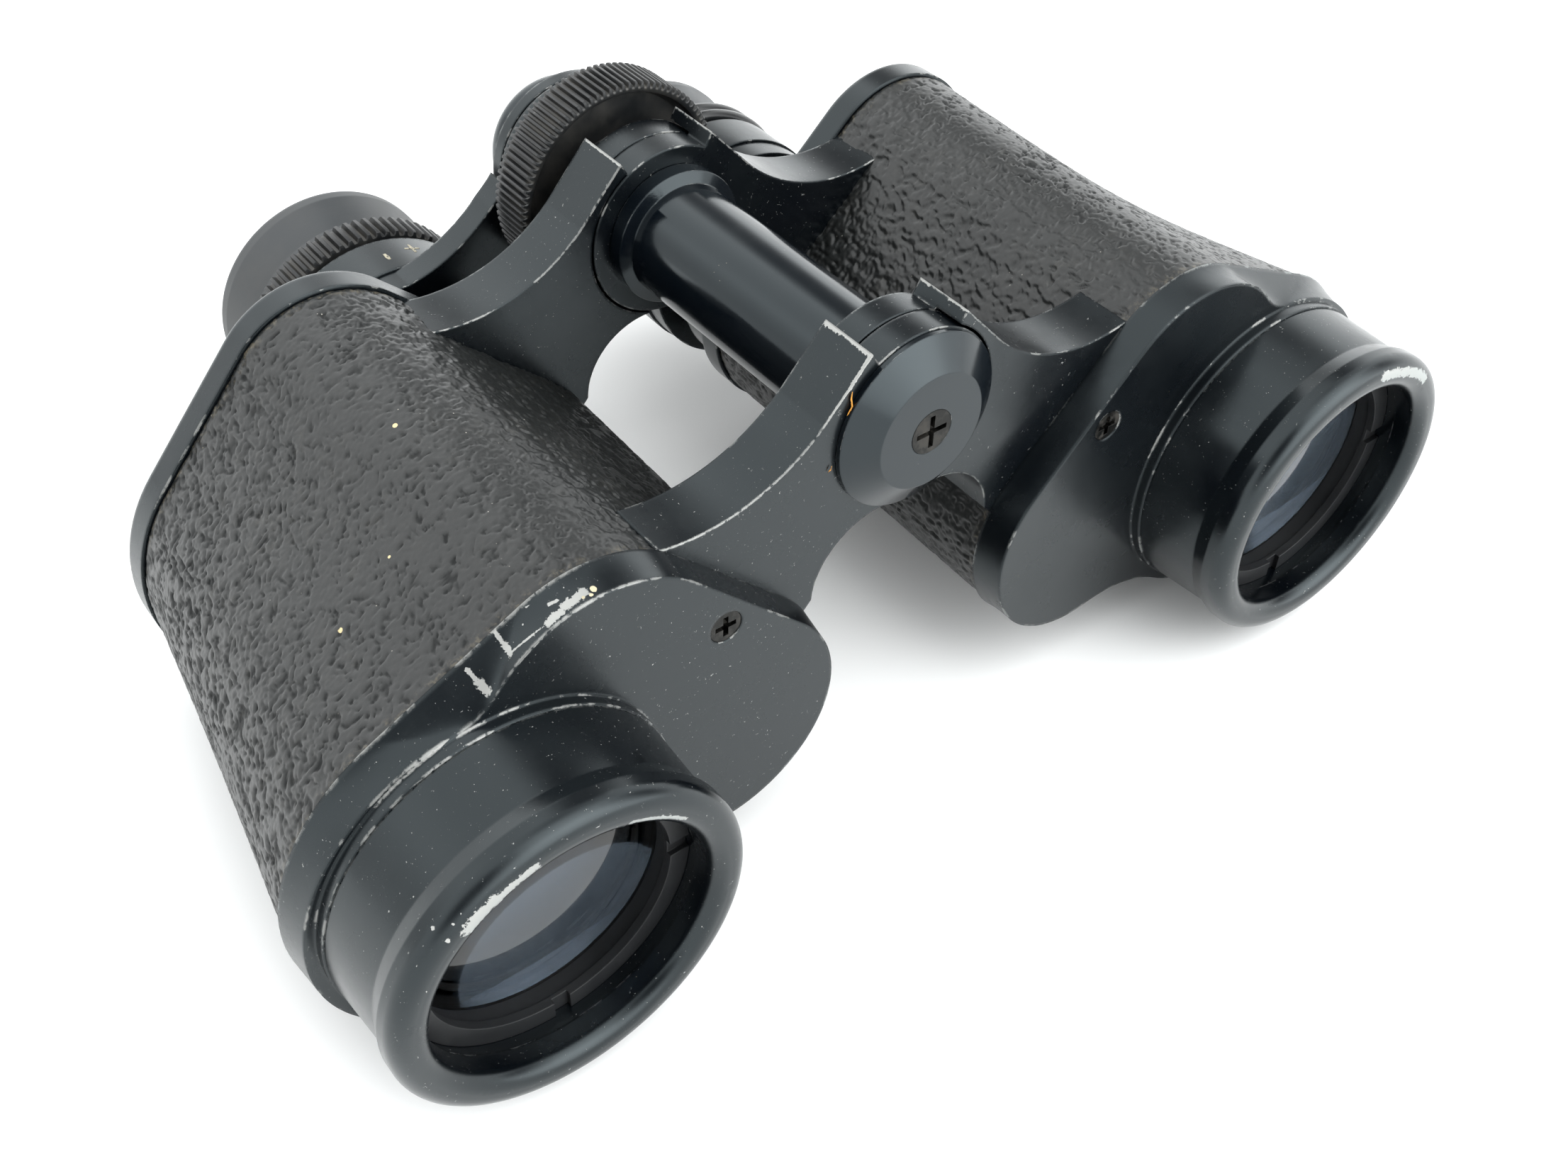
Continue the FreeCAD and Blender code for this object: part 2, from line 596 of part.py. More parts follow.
def prism_housing(name, side):
    """Cast shell with two arms; the right barrel's lugs stand outside the left one's."""
    body = new_body(name + "_prism_housing")
    barrel_loft(body, side, "skin")
    for y_from, y_to in (("front_y", "front_arm_y"), ("rear_arm_y", "rear_y")):
        slab(body, y_from, y_to, draw_arm(side))
    outer_lugs = [("front_y", "front_lug_y - lug_gap"), ("rear_lug_y + lug_gap", "rear_y")]
    inner_lugs = [("front_lug_y + lug_gap", "front_arm_y"), ("rear_arm_y", "rear_lug_y - lug_gap")]
    own, other = (outer_lugs, inner_lugs) if side < 0 else (inner_lugs, outer_lugs)
    for y_from, y_to in own:
        slab(body, y_from, y_to, draw_disc("lug_r"))
    for y_from, y_to in other:
        slab(body, y_from + " - lug_gap - lug_gap", y_to + " + lug_gap + lug_gap",
             draw_disc("lug_room_r"), cut=True)
    slab(body, "front_y - overrun", "rear_y + overrun", draw_disc("pin_bore_r"), cut=True)
    barrel_loft(body, side, "shell", cut=True)
    on_hinge(body)


def leatherette(name, side):
    """Pebbled covering round the shell, cut out where the arms stand."""
    body = new_body(name + "_leatherette")
    barrel_loft(body, side, "skin_step")
    barrel_loft(body, side, "bed", cut=True)
    for y_from, y_to in (("front_y", "front_arm_y"), ("rear_arm_y", "rear_y")):
        slab(body, y_from, y_to, draw_arm(side), cut=True)
    on_hinge(body)


def front_cover(name, side):
    """Cover with a prism lobe and an objective lobe, and a boss that takes the tube."""
    body = new_body(name + "_front_cover")
    face, foot = new_sketch(body, "face_y"), new_sketch(body, "front_y")
    add_rounded(face, FACE_OUTLINE, side, FACE_NECKS)
    add_rounded(foot, front_outline("0"), side)
    loft(body, face, foot)
    slab(body, "tube_y", "front_y", draw_disc("boss_r", "obj_out", "- obj_down", side))
    slab(body, "tube_y - overrun", "front_y + overrun",
         draw_disc("spigot_r + screw_gap", "obj_out", "- obj_down", side), cut=True)
    for radius, depth in (("screw_head_r + screw_gap", "screw_head + play"),
                          ("screw_r + screw_gap", "screw_length")):
        slab(body, "face_y - overrun", "face_y + " + depth,
             draw_disc(radius, "screw_out", "- screw_down", side), cut=True)
    on_hinge(body)


def rear_cover(name, side):
    """Flat cover with the guide sleeve of the eyepiece."""
    body = new_body(name + "_rear_cover")
    slab(body, "rear_y", "back_y", lambda sketch: add_rounded(sketch, rear_outline("0"), side))
    last = value("back_y")
    round_edges(body, "rear_round_r",
                lambda edge: all(abs(v.Point.y - last) < TOUCH for v in edge.Vertexes))
    slab(body, "rear_y", "guide_y", draw_disc("guide_r", "eye_out", "- eye_down", side))
    slab(body, "rear_y - overrun", "guide_y + overrun",
         draw_disc("guide_bore_r", "eye_out", "- eye_down", side), cut=True)
    for across, up in REAR_SCREWS:
        slab(body, "back_y - screw_head", "back_y + overrun",
             draw_disc("screw_head_r + screw_gap", across, up, side), cut=True)
        slab(body, "rear_y - overrun", "back_y + overrun",
             draw_disc("screw_r + screw_gap", across, up, side), cut=True)
    on_hinge(body)


def cylinder(name, radius, y_from, y_to):
    """Plain cylinder along Y, in its own part frame."""
    item = DOC.addObject("Part::Cylinder", name)
    bind(item, "Radius", radius)
    bind_span(item, "Height", y_from, y_to)
    item.Placement.Rotation = FreeCAD.Rotation(V(1, 0, 0), -90)
    bind(item, "Placement.Base.y", y_from)
    return item


def screw_solid(name, head_radius, y_head, inward):
    """Countersunk screw with a cross recess; inward is +1 when it points to +Y."""
    head = DOC.addObject("Part::Cone", name + "_head")
    bind(head, "Radius1", head_radius)
    bind(head, "Radius2", "screw_r")
    bind(head, "Height", "screw_head")
    shank = DOC.addObject("Part::Cylinder", name + "_shank")
    bind(shank, "Radius", "screw_r")
    bind(shank, "Height", "screw_length")
    blades = []
    for turn in (0, 90):
        blade = DOC.addObject("Part::Box", name + "_blade")
        bind(blade, "Length", "%s + %s - slot_margin - slot_margin" % (head_radius, head_radius))
        bind(blade, "Width", "slot_width")
        bind(blade, "Height", "slot_depth")
        half = value(head_radius + " - slot_margin")
        middle = FreeCAD.Placement(V(-half, -value("slot_width") / 2, 0), FreeCAD.Rotation())
        blade.Placement = FreeCAD.Placement(V(), FreeCAD.Rotation(V(0, 0, 1), turn)) * middle
        blades.append(blade)
    solid = DOC.addObject("Part::MultiFuse", name + "_blank")
    solid.Shapes = [head, shank]
    cross = DOC.addObject("Part::MultiFuse", name + "_cross")
    cross.Shapes = blades
    screw = DOC.addObject("Part::Cut", name)
    screw.Base, screw.Tool = solid, cross
    screw.Placement.Rotation = FreeCAD.Rotation(V(1, 0, 0), -90 * inward)
    bind(screw, "Placement.Base.y", y_head)
    return screw


def screws(name, side, spots, y_head, inward):
    """One node: a group of separate, equal screws."""
    solids = []
    for number, (across, up) in enumerate(spots):
        screw = screw_solid("%s_%d" % (name, number + 1), "screw_head_r", y_head, inward)
        bind(screw, "Placement.Base.x", across, side)
        bind(screw, "Placement.Base.z", "hinge_height " + up)
        solids.append(screw)
    group = solids[0]
    if len(solids) > 1:
        group = DOC.addObject("Part::Compound", name)
        group.Links = solids
    group.Label = name
    PARTS.append(group)


def objective(name, side):
    """Tube with a rolled lip, cell, cemented doublet and slotted keeper ring."""
    tube = turned(name + "_objective_tube", "obj", side, [
        ("hood_r", "lip_y"), ("lip_r", "lip_y"), ("lip_r", "lip_back_y"),
        ("tube_r", "tube_front_y"), ("tube_foot_r", "tube_y"), ("spigot_r", "tube_y"),
        ("spigot_r", "spigot_y"), ("tube_bore_r", "spigot_y"), ("tube_bore_r", "hood_back_y"),
        ("hood_r", "hood_back_y")])
    round_edges(tube, "lip_round_r", circle_at("lip_r", "lip_y"))
    round_edges(tube, "hood_round_r", circle_at("hood_r", "lip_y"))
    turned(name + "_objective_cell", "obj", side, [
        ("lens_r + lens_gap", "cell_front_y"), ("cell_r", "cell_front_y"),
        ("cell_r", "cell_back_y"), ("clear_r", "cell_back_y"), ("clear_r", "lens_back_y"),
        ("lens_r + lens_gap", "lens_back_y")])
    keeper = ring(name + "_objective_keeper_ring", "obj", side,
                  "keeper_y", "cell_front_y", "cell_r", "keeper_bore_r")
    for across, up in (("keeper_slot_long", "keeper_slot"), ("keeper_slot", "keeper_slot_long")):
        slab(keeper, "keeper_y - overrun", "keeper_y + keeper_slot_depth",
             draw_block(across, up), cut=True)
    crown = lens_blank(name + "_objective_crown", "lens_r", "lens_front_y", "crown_back_y",
                       "lens_front_curve", "lens_joint_curve")
    finish(crown, name + "_objective_crown", "obj", side)
    disc = cylinder(name + "_flint_disc", "lens_r", "flint_y", "lens_back_y")
    bed = DOC.addObject("Part::Sphere", name + "_flint_bed")
    bind(bed, "Radius", "lens_joint_curve + glue")
    bind(bed, "Placement.Base.y", "crown_back_y - lens_joint_curve")
    flint = DOC.addObject("Part::Cut", name + "_objective_flint")
    flint.Base, flint.Tool = disc, bed
    finish(flint, name + "_objective_flint", "obj", side)


def lens_blank(name, radius, y_from, y_to, front_curve, back_curve):
    """Glass with two convex faces: a cylinder inside two spheres."""
    disc = cylinder(name + "_disc", radius, y_from, y_to)
    front = DOC.addObject("Part::Sphere", name + "_front")
    bind(front, "Radius", front_curve)
    bind(front, "Placement.Base.y", "%s + %s" % (y_from, front_curve))
    back = DOC.addObject("Part::Sphere", name + "_back")
    bind(back, "Radius", back_curve)
    bind(back, "Placement.Base.y", "%s - %s" % (y_to, back_curve))
    glass = DOC.addObject("Part::MultiCommon", name)
    glass.Shapes = [disc, front, back]
    return glass


def finish(item, label, axis, side):
    item.Label = label
    place(item, axis, side)
    PARTS.append(item)


def prism(name, side, label, from_axis, to_axis, y_face, forward):
    """Right-angle prism whose long face lies on the shelf and spans two light paths."""
    start = V(side * value(from_axis + "_out"), -value(from_axis + "_down"))
    stop = V(side * value(to_axis + "_out"), -value(to_axis + "_down"))
    lean = math.degrees(math.atan2(stop.y - start.y, stop.x - start.x))
    middle = (start + stop) * 0.5
    body = new_body("%s_prism_%s" % (name, label))
    sketch = body.newObject("Sketcher::SketchObject", "Triangle")
    sketch.AttachmentSupport = [(plane(body, "XY_Plane"), "")]
    sketch.MapMode = "FlatFace"
    tip = "prism_half - prism_tip"
    sign = -1 if forward else 1
    add_polygon(sketch, [("- prism_half", "0"), ("prism_half", "0"), ("prism_tip", flip(tip, sign)),
                         ("- prism_tip", flip(tip, sign))])
    pad = body.newObject("PartDesign::Pad", "Glass")
    pad.Profile = sketch
    pad.Midplane = True
    bind(pad, "Length", "prism_width")
    body.Tip = pad
    body.Placement = FreeCAD.Placement(V(middle.x, value(y_face), value("hinge_height") + middle.y),
                                       FreeCAD.Rotation(V(0, 1, 0), -lean))
    return middle, lean


def flip(text, sign):
    """A sum or its negative."""
    if sign > 0:
        return text
    words = ["-" if w == "+" else "+" if w == "-" else w for w in text.split()]
    return "- " + " ".join(words)


def prisms(name, side):
    """The two prisms, the shelf between them and the straps that hold them."""
    front = prism(name, side, "front", "mid", "eye", "shelf_y - seat", True)
    rear = prism(name, side, "rear", "obj", "mid", "shelf_back_y + seat", False)
    shelf = new_body(name + "_prism_shelf")
    share = value("shelf_y - front_y") / value("rear_y - front_y")
    slab(shelf, "shelf_y", "shelf_back_y",
         lambda sketch: add_between(sketch, side, share, value("shelf_room")))
    for axis in ("obj", "mid", "eye"):
        slab(shelf, "shelf_y - overrun", "shelf_back_y + overrun",
             draw_disc("path_r", axis + "_out", "- %s_down" % axis, side), cut=True)
    on_hinge(shelf)
    clips(name, (front, rear))


def add_between(sketch, side, share, inset):
    """Barrel outline at a share of the way from front to rear, worked out from the sheet."""
    rows = []
    for front, rear in zip(front_outline("0"), rear_outline("0")):
        mixed = [value(f) + share * (value(r) - value(f)) for f, r in zip(front, rear)]
        rows.append(("%.3f" % mixed[0], "%.3f" % mixed[1], "%.3f" % (mixed[2] - inset)))
    add_rounded(sketch, rows, side)


def clips(name, places):
    """Sprung straps that hold the prisms down: a strap over each roof edge with two legs."""
    straps = []
    thick, half, wide = value("clip_thick"), value("clip_side"), value("clip_width")
    for (middle, lean), face, sign in zip(places, ("shelf_y", "shelf_back_y"), (-1, 1)):
        crown = Part.makeBox(wide, thick, 2 * (half + thick), V(-wide / 2, 0, -half - thick))
        legs = [Part.makeBox(wide, value("clip_reach"), thick,
                             V(-wide / 2, -value("clip_reach"), z)) for z in (-half - thick, half)]
        strap = crown.fuse(legs).removeSplitter()
        if sign < 0:
            strap = strap.mirror(V(), V(0, 1, 0))
        strap.Placement = FreeCAD.Placement(
            V(middle.x, value(face) + sign * value("clip_lift"), value("hinge_height") + middle.y),
            FreeCAD.Rotation(V(0, 1, 0), -lean))
        straps.append(strap)
    item = DOC.addObject("Part::Feature", name + "_prism_clips")
    item.Shape = Part.makeCompound(straps)
    item.Label = name + "_prism_clips"
    PARTS.append(item)


def eyepiece(name, side):
    """Sliding barrel with its glasses, bridge arm, rings and eyecup."""
    turned(name + "_eyepiece_barrel", "eye", side, [
        ("barrel_bore_r", "field_lens_back_y"), ("barrel_bore_r", "barrel_back_y"),
        ("barrel_r", "barrel_back_y"), ("barrel_r", "barrel_y"), ("eye_lens_r", "barrel_y"),
        ("eye_lens_r", "field_lens_y"), ("field_lens_r + lens_gap", "field_lens_y"),
        ("field_lens_r + lens_gap", "field_lens_back_y")])
    field = lens_blank(name + "_field_lens", "field_lens_r", "field_lens_y + play",
                       "field_lens_back_y", "eye_lens_curve", "eye_lens_curve")
    finish(field, name + "_field_lens", "eye", side)
    turned(name + "_eye_lens_cell", "eye", side, [
        ("eye_clear_r", "cell_eye_y"), ("cell_eye_r", "cell_eye_y"),
        ("cell_eye_r", "cell_flange_y"), ("cell_flange_r", "cell_flange_y"),
        ("cell_flange_r", "cell_back_eye_y"), ("eye_lens_r + lens_gap", "cell_back_eye_y"),
        ("eye_lens_r + lens_gap", "eye_lens_y"), ("eye_clear_r", "eye_lens_y")])
    glass = lens_blank(name + "_eye_lens", "eye_lens_r", "eye_lens_y + seat", "eye_lens_back_y",
                       "eye_lens_curve", "eye_lens_curve")
    finish(glass, name + "_eye_lens", "eye", side)
    cup = turned(name + "_eyecup", "eye", side, [
        ("cup_bore_r", "knurl_back_y + seat"), ("cup_neck_r", "knurl_back_y + seat"),
        ("cup_neck_r", "cup_neck_y"), ("cup_r", "cup_flare_y"), ("cup_r", "rim_y"),
        ("cup_mouth_r", "rim_y"), ("cup_seat_r", "cup_seat_y"), ("cup_seat_r", "cup_bore_y"),
        ("cup_bore_r", "cup_bore_y")])
    round_edges(cup, "cup_round_r", circle_at("cup_r", "rim_y"))
    bridge_arm(name, side)
    ring(name + "_scale_ring", "eye", side, "bridge_back_y + glue", "scale_y", "scale_r",
         "barrel_r + glue")
    ring_name = "dioptre_ring" if side < 0 else "eyepiece_ring"
    grip = turned("%s_%s" % (name, ring_name), "eye", side, [
        ("grip_bore_r", "knurl_y"), ("knurl_r", "knurl_y"), ("knurl_r", "knurl_back_y"),
        ("grip_seat_r", "knurl_back_y"), ("grip_seat_r", "grip_seat_y"),
        ("grip_bore_r", "grip_seat_y")])
    round_rims(grip, "knurl_r", "knurl_y", "knurl_back_y")


def bridge_arm(name, side):
    """Slim curved arm from the hub on the focus spindle to the ring round one eyepiece."""
    body = new_body(name + "_bridge_arm")
    slab(body, "bridge_y", "bridge_back_y",
         lambda sketch: add_polygon(sketch, BRIDGE_OUTLINE, side, BRIDGE_HOLLOWS))
    slab(body, "bridge_y", "bridge_back_y", draw_disc("ring_r", "eye_out", "- eye_down", side))
    front_half = ("bridge_y", "hub_y - lug_gap")
    rear_half = ("hub_y + lug_gap", "bridge_back_y")
    own = front_half if side < 0 else rear_half
    slab(body, own[0], own[1], draw_disc("hub_r"))
    room = ("hub_y - lug_gap", "bridge_back_y + overrun") if side < 0 else (
        "bridge_y - overrun", "hub_y + lug_gap")
    slab(body, room[0], room[1], draw_disc("hub_room_r"), cut=True)
    slab(body, "bridge_y - overrun", "bridge_back_y + overrun", draw_disc("hub_bore_r"), cut=True)
    slab(body, "bridge_y - overrun", "bridge_back_y + overrun",
         draw_disc("barrel_r + glue", "eye_out", "- eye_down", side), cut=True)
    on_hinge(body)


# ---- pieces on the hinge axis ----

def centre_pieces():
    """Axle, end cap, focus wheel, spindle and the nut of the bridge."""
    turned("axle_tube", "hinge", 1, [
        ("axle_bore_r", "axle_y"), ("pin_r", "axle_y"), ("pin_r", "front_arm_y + play"),
        ("axle_r", "front_arm_y + play"), ("axle_r", "collar_y"), ("collar_r", "collar_full_y"),
        ("collar_r", "rear_arm_y - play"), ("pin_r", "rear_arm_y - play"),
        ("pin_r", "axle_back_y"), ("axle_bore_r", "axle_back_y")])
    turned("axle_front_cap", "hinge", 1, [
        ("cap_screw_r + screw_gap", "cap_y"), ("cap_flat_r", "cap_y"), ("cap_r", "cap_base_y"),
        ("cap_r", "front_y - seat"), ("screw_r + screw_gap", "front_y - seat"),
        ("screw_r + screw_gap", "cap_y + screw_head"),
        ("cap_screw_r + screw_gap", "cap_sink_y")])
    cap_screw = screw_solid("axle_cap_screw", "cap_screw_r", "cap_y", 1)
    finish(cap_screw, "axle_cap_screw", "hinge", 1)
    turned("axle_front_plug", "hinge", 1, [
        ("screw_r + screw_gap", "axle_y"), ("axle_bore_r - glue", "axle_y"),
        ("axle_bore_r - glue", "front_arm_y"), ("screw_r + screw_gap", "front_arm_y")])
    ring("axle_rear_washer", "hinge", 1, "rear_y + play", "axle_back_y", "washer_r", "pin_r + glue")
    wheel = turned("focus_wheel", "hinge", 1, [
        ("wheel_bore_r", "wheel_hub_y"), ("wheel_hub_r", "wheel_hub_y"),
        ("wheel_hub_r", "wheel_well_y"), ("wheel_well_r", "wheel_well_y"),
        ("wheel_well_r", "wheel_front_y"), ("wheel_r", "wheel_front_y"),
        ("wheel_r", "wheel_back_y"), ("wheel_bore_r", "wheel_back_y")])
    round_rims(wheel, "wheel_r", "wheel_front_y", "wheel_back_y")
    turned("focus_spindle", "hinge", 1, [
        ("0", "spindle_y"), ("spindle_r", "spindle_y"), ("spindle_r", "spindle_back_y"),
        ("0", "spindle_back_y")])
    dome = turned("bridge_dome_nut", "hinge", 1, [
        ("spindle_r + glue", "dome_front_y"), ("dome_r", "dome_front_y"), ("dome_r", "dome_y"),
        ("0", "dome_y"), ("0", "spindle_back_y + seat"),
        ("spindle_r + glue", "spindle_back_y + seat")])
    round_edges(dome, "dome_round_r", circle_at("dome_r", "dome_y"))


for NAME, SIDE in SIDES.items():
    prism_housing(NAME, SIDE)
    leatherette(NAME, SIDE)
    front_cover(NAME, SIDE)
    rear_cover(NAME, SIDE)
    screws(NAME + "_front_cover_screw", SIDE, [("screw_out", "- screw_down")], "face_y + play", 1)
    screws(NAME + "_rear_cover_screws", SIDE, REAR_SCREWS, "back_y - seat", -1)
    objective(NAME, SIDE)
    prisms(NAME, SIDE)
    eyepiece(NAME, SIDE)
centre_pieces()

DOC.recompute()
for ITEM in DOC.Objects:
    if "Invalid" in ITEM.State or "Error" in ITEM.State:
        raise RuntimeError("%s failed: %s" % (ITEM.Name, ITEM.State))
os.makedirs("parts", exist_ok=True)
for ITEM in PARTS:
    SHAPE = ITEM.Shape
    if SHAPE.isNull() or not SHAPE.isValid() or SHAPE.Volume <= 0:
        raise RuntimeError("%s has no sound shape" % ITEM.Label)
for ITEM in PARTS:
    ITEM.Shape.exportStep("parts/%s.step" % ITEM.Label)
    BOX = ITEM.Shape.BoundBox
    print("%-32s %9.1f mm3  x %6.1f %6.1f  y %6.1f %6.1f  z %6.1f %6.1f" % (
        ITEM.Label, ITEM.Shape.Volume, BOX.XMin, BOX.XMax, BOX.YMin, BOX.YMax, BOX.ZMin, BOX.ZMax))
print(len(PARTS), "sub-parts")
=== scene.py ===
"""Looks of the hinged prism binoculars: materials, covering, knurled rings and studio."""
import bpy
import json
import math
import numpy as np
from mathutils import Matrix, Vector


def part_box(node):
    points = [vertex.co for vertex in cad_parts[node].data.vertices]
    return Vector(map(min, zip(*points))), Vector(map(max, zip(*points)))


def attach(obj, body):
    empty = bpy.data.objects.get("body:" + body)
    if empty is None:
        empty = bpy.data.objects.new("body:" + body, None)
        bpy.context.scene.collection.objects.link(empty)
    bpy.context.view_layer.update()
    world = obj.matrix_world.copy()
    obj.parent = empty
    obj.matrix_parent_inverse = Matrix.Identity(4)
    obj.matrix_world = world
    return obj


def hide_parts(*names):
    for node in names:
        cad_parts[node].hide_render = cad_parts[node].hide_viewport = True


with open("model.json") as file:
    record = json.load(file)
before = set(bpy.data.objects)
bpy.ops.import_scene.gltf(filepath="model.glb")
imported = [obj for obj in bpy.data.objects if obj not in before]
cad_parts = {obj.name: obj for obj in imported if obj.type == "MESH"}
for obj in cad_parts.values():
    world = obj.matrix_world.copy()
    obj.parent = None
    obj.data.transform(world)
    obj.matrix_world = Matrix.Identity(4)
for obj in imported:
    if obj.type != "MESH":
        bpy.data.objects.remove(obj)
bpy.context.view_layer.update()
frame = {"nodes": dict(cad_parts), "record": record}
SCENE = bpy.context.scene
NODES = frame["nodes"]
MM = 0.001


# ---------------------------------------------------------------- node helpers

class Shader:
    """Short way to write a node tree."""

    def __init__(self, name):
        self.material = bpy.data.materials.new(name)
        self.material.use_nodes = True
        self.tree = self.material.node_tree
        self.nodes = self.tree.nodes
        self.bsdf = self.nodes["Principled BSDF"]
        self.position = self.nodes.new("ShaderNodeTexCoord").outputs["Object"]
        self.rounded = {}

    def put(self, target, source):
        if isinstance(source, bpy.types.NodeSocket):
            self.tree.links.new(source, target)
        elif source is not None:
            target.default_value = source

    def noise(self, scale, detail=3.0, rough=0.5, stretch=None):
        place = self.position
        if stretch is not None:
            place = self.vector("MULTIPLY", place, stretch)
        node = self.nodes.new("ShaderNodeTexNoise")
        self.put(node.inputs["Vector"], place)
        node.inputs["Scale"].default_value = scale
        node.inputs["Detail"].default_value = detail
        node.inputs["Roughness"].default_value = rough
        return node.outputs["Fac"]

    def cells(self, scale):
        node = self.nodes.new("ShaderNodeTexVoronoi")
        self.put(node.inputs["Vector"], self.position)
        node.inputs["Scale"].default_value = scale
        return node.outputs["Distance"]

    def math(self, kind, first, second=None, clamp=False):
        node = self.nodes.new("ShaderNodeMath")
        node.operation = kind
        node.use_clamp = clamp
        self.put(node.inputs[0], first)
        self.put(node.inputs[1], second)
        return node.outputs[0]

    def vector(self, kind, first, second=None):
        node = self.nodes.new("ShaderNodeVectorMath")
        node.operation = kind
        self.put(node.inputs[0], first)
        self.put(node.inputs[1], second)
        return node.outputs["Value" if kind in ("DOT_PRODUCT", "DISTANCE", "LENGTH") else "Vector"]

    def ramp(self, source, low, high, to_low=0.0, to_high=1.0):
        node = self.nodes.new("ShaderNodeMapRange")
        node.interpolation_type = "SMOOTHSTEP"
        for name, item in (("Value", source), ("From Min", low), ("From Max", high),
                           ("To Min", to_low), ("To Max", to_high)):
            self.put(node.inputs[name], item)
        return node.outputs["Result"]

    def mix(self, factor, first, second):
        node = self.nodes.new("ShaderNodeMix")
        node.data_type = "RGBA"
        self.put(node.inputs["Factor"], factor)
        for socket, item in ((node.inputs["A"], first), (node.inputs["B"], second)):
            if isinstance(item, tuple):
                item = (*item, 1.0)
            self.put(socket, item)
        return node.outputs["Result"]

    def bump(self, height, distance, strength=1.0, normal=None):
        node = self.nodes.new("ShaderNodeBump")
        node.inputs["Strength"].default_value = strength
        node.inputs["Distance"].default_value = distance
        self.put(node.inputs["Height"], height)
        self.put(node.inputs["Normal"], normal)
        return node.outputs["Normal"]

    def soft(self, radius):
        """Shading normal of an edge rounded to this radius."""
        if radius not in self.rounded:
            node = self.nodes.new("ShaderNodeBevel")
            node.samples = 4
            node.inputs["Radius"].default_value = radius
            self.rounded[radius] = node.outputs["Normal"]
        return self.rounded[radius]

    def edges(self, radius):
        """0 on flats, rising towards sharp edges."""
        true_normal = self.nodes.new("ShaderNodeNewGeometry").outputs["True Normal"]
        dot = self.vector("DOT_PRODUCT", self.soft(radius), true_normal)
        return self.math("SUBTRACT", 1.0, dot)

    def attribute(self, name):
        node = self.nodes.new("ShaderNodeAttribute")
        node.attribute_name = name
        return node.outputs["Fac"]

    def set(self, name, source):
        self.put(self.bsdf.inputs[name], source)


BARE = (0.38, 0.38, 0.365)
DUST = (0.24, 0.22, 0.17)
CREAM_DIRT = (0.50, 0.44, 0.30)
COOL_SHINE = (0.84, 0.96, 1.0, 1.0)
WARM_SHINE = (1.0, 0.98, 0.95, 1.0)
COATING_IOR = 1.5


def strokes(shader, lines, soft=0.55):
    """1 inside the thick polylines, 0 outside: each is (radius mm, point, point, ...) in mm."""
    total = None
    for radius, *points in lines:
        points = [Vector(p) * MM for p in points]
        if len(points) == 1:
            points = points * 2
        for first, last in zip(points, points[1:]):
            along = last - first
            from_first = shader.vector("SUBTRACT", shader.position, first)
            share = 0.0
            if along.length_squared > 0:
                share = shader.vector("DOT_PRODUCT", from_first, along / along.length_squared)
                share = shader.math("ADD", share, 0.0, clamp=True)
                nearest = shader.nodes.new("ShaderNodeVectorMath")
                nearest.operation = "SCALE"
                nearest.inputs[0].default_value = along
                shader.put(nearest.inputs["Scale"], share)
                from_first = shader.vector("SUBTRACT", from_first, nearest.outputs["Vector"])
            gap = shader.vector("LENGTH", from_first)
            inside = shader.ramp(gap, radius * MM, radius * soft * MM)
            total = inside if total is None else shader.math("MAXIMUM", total, inside)
    return total


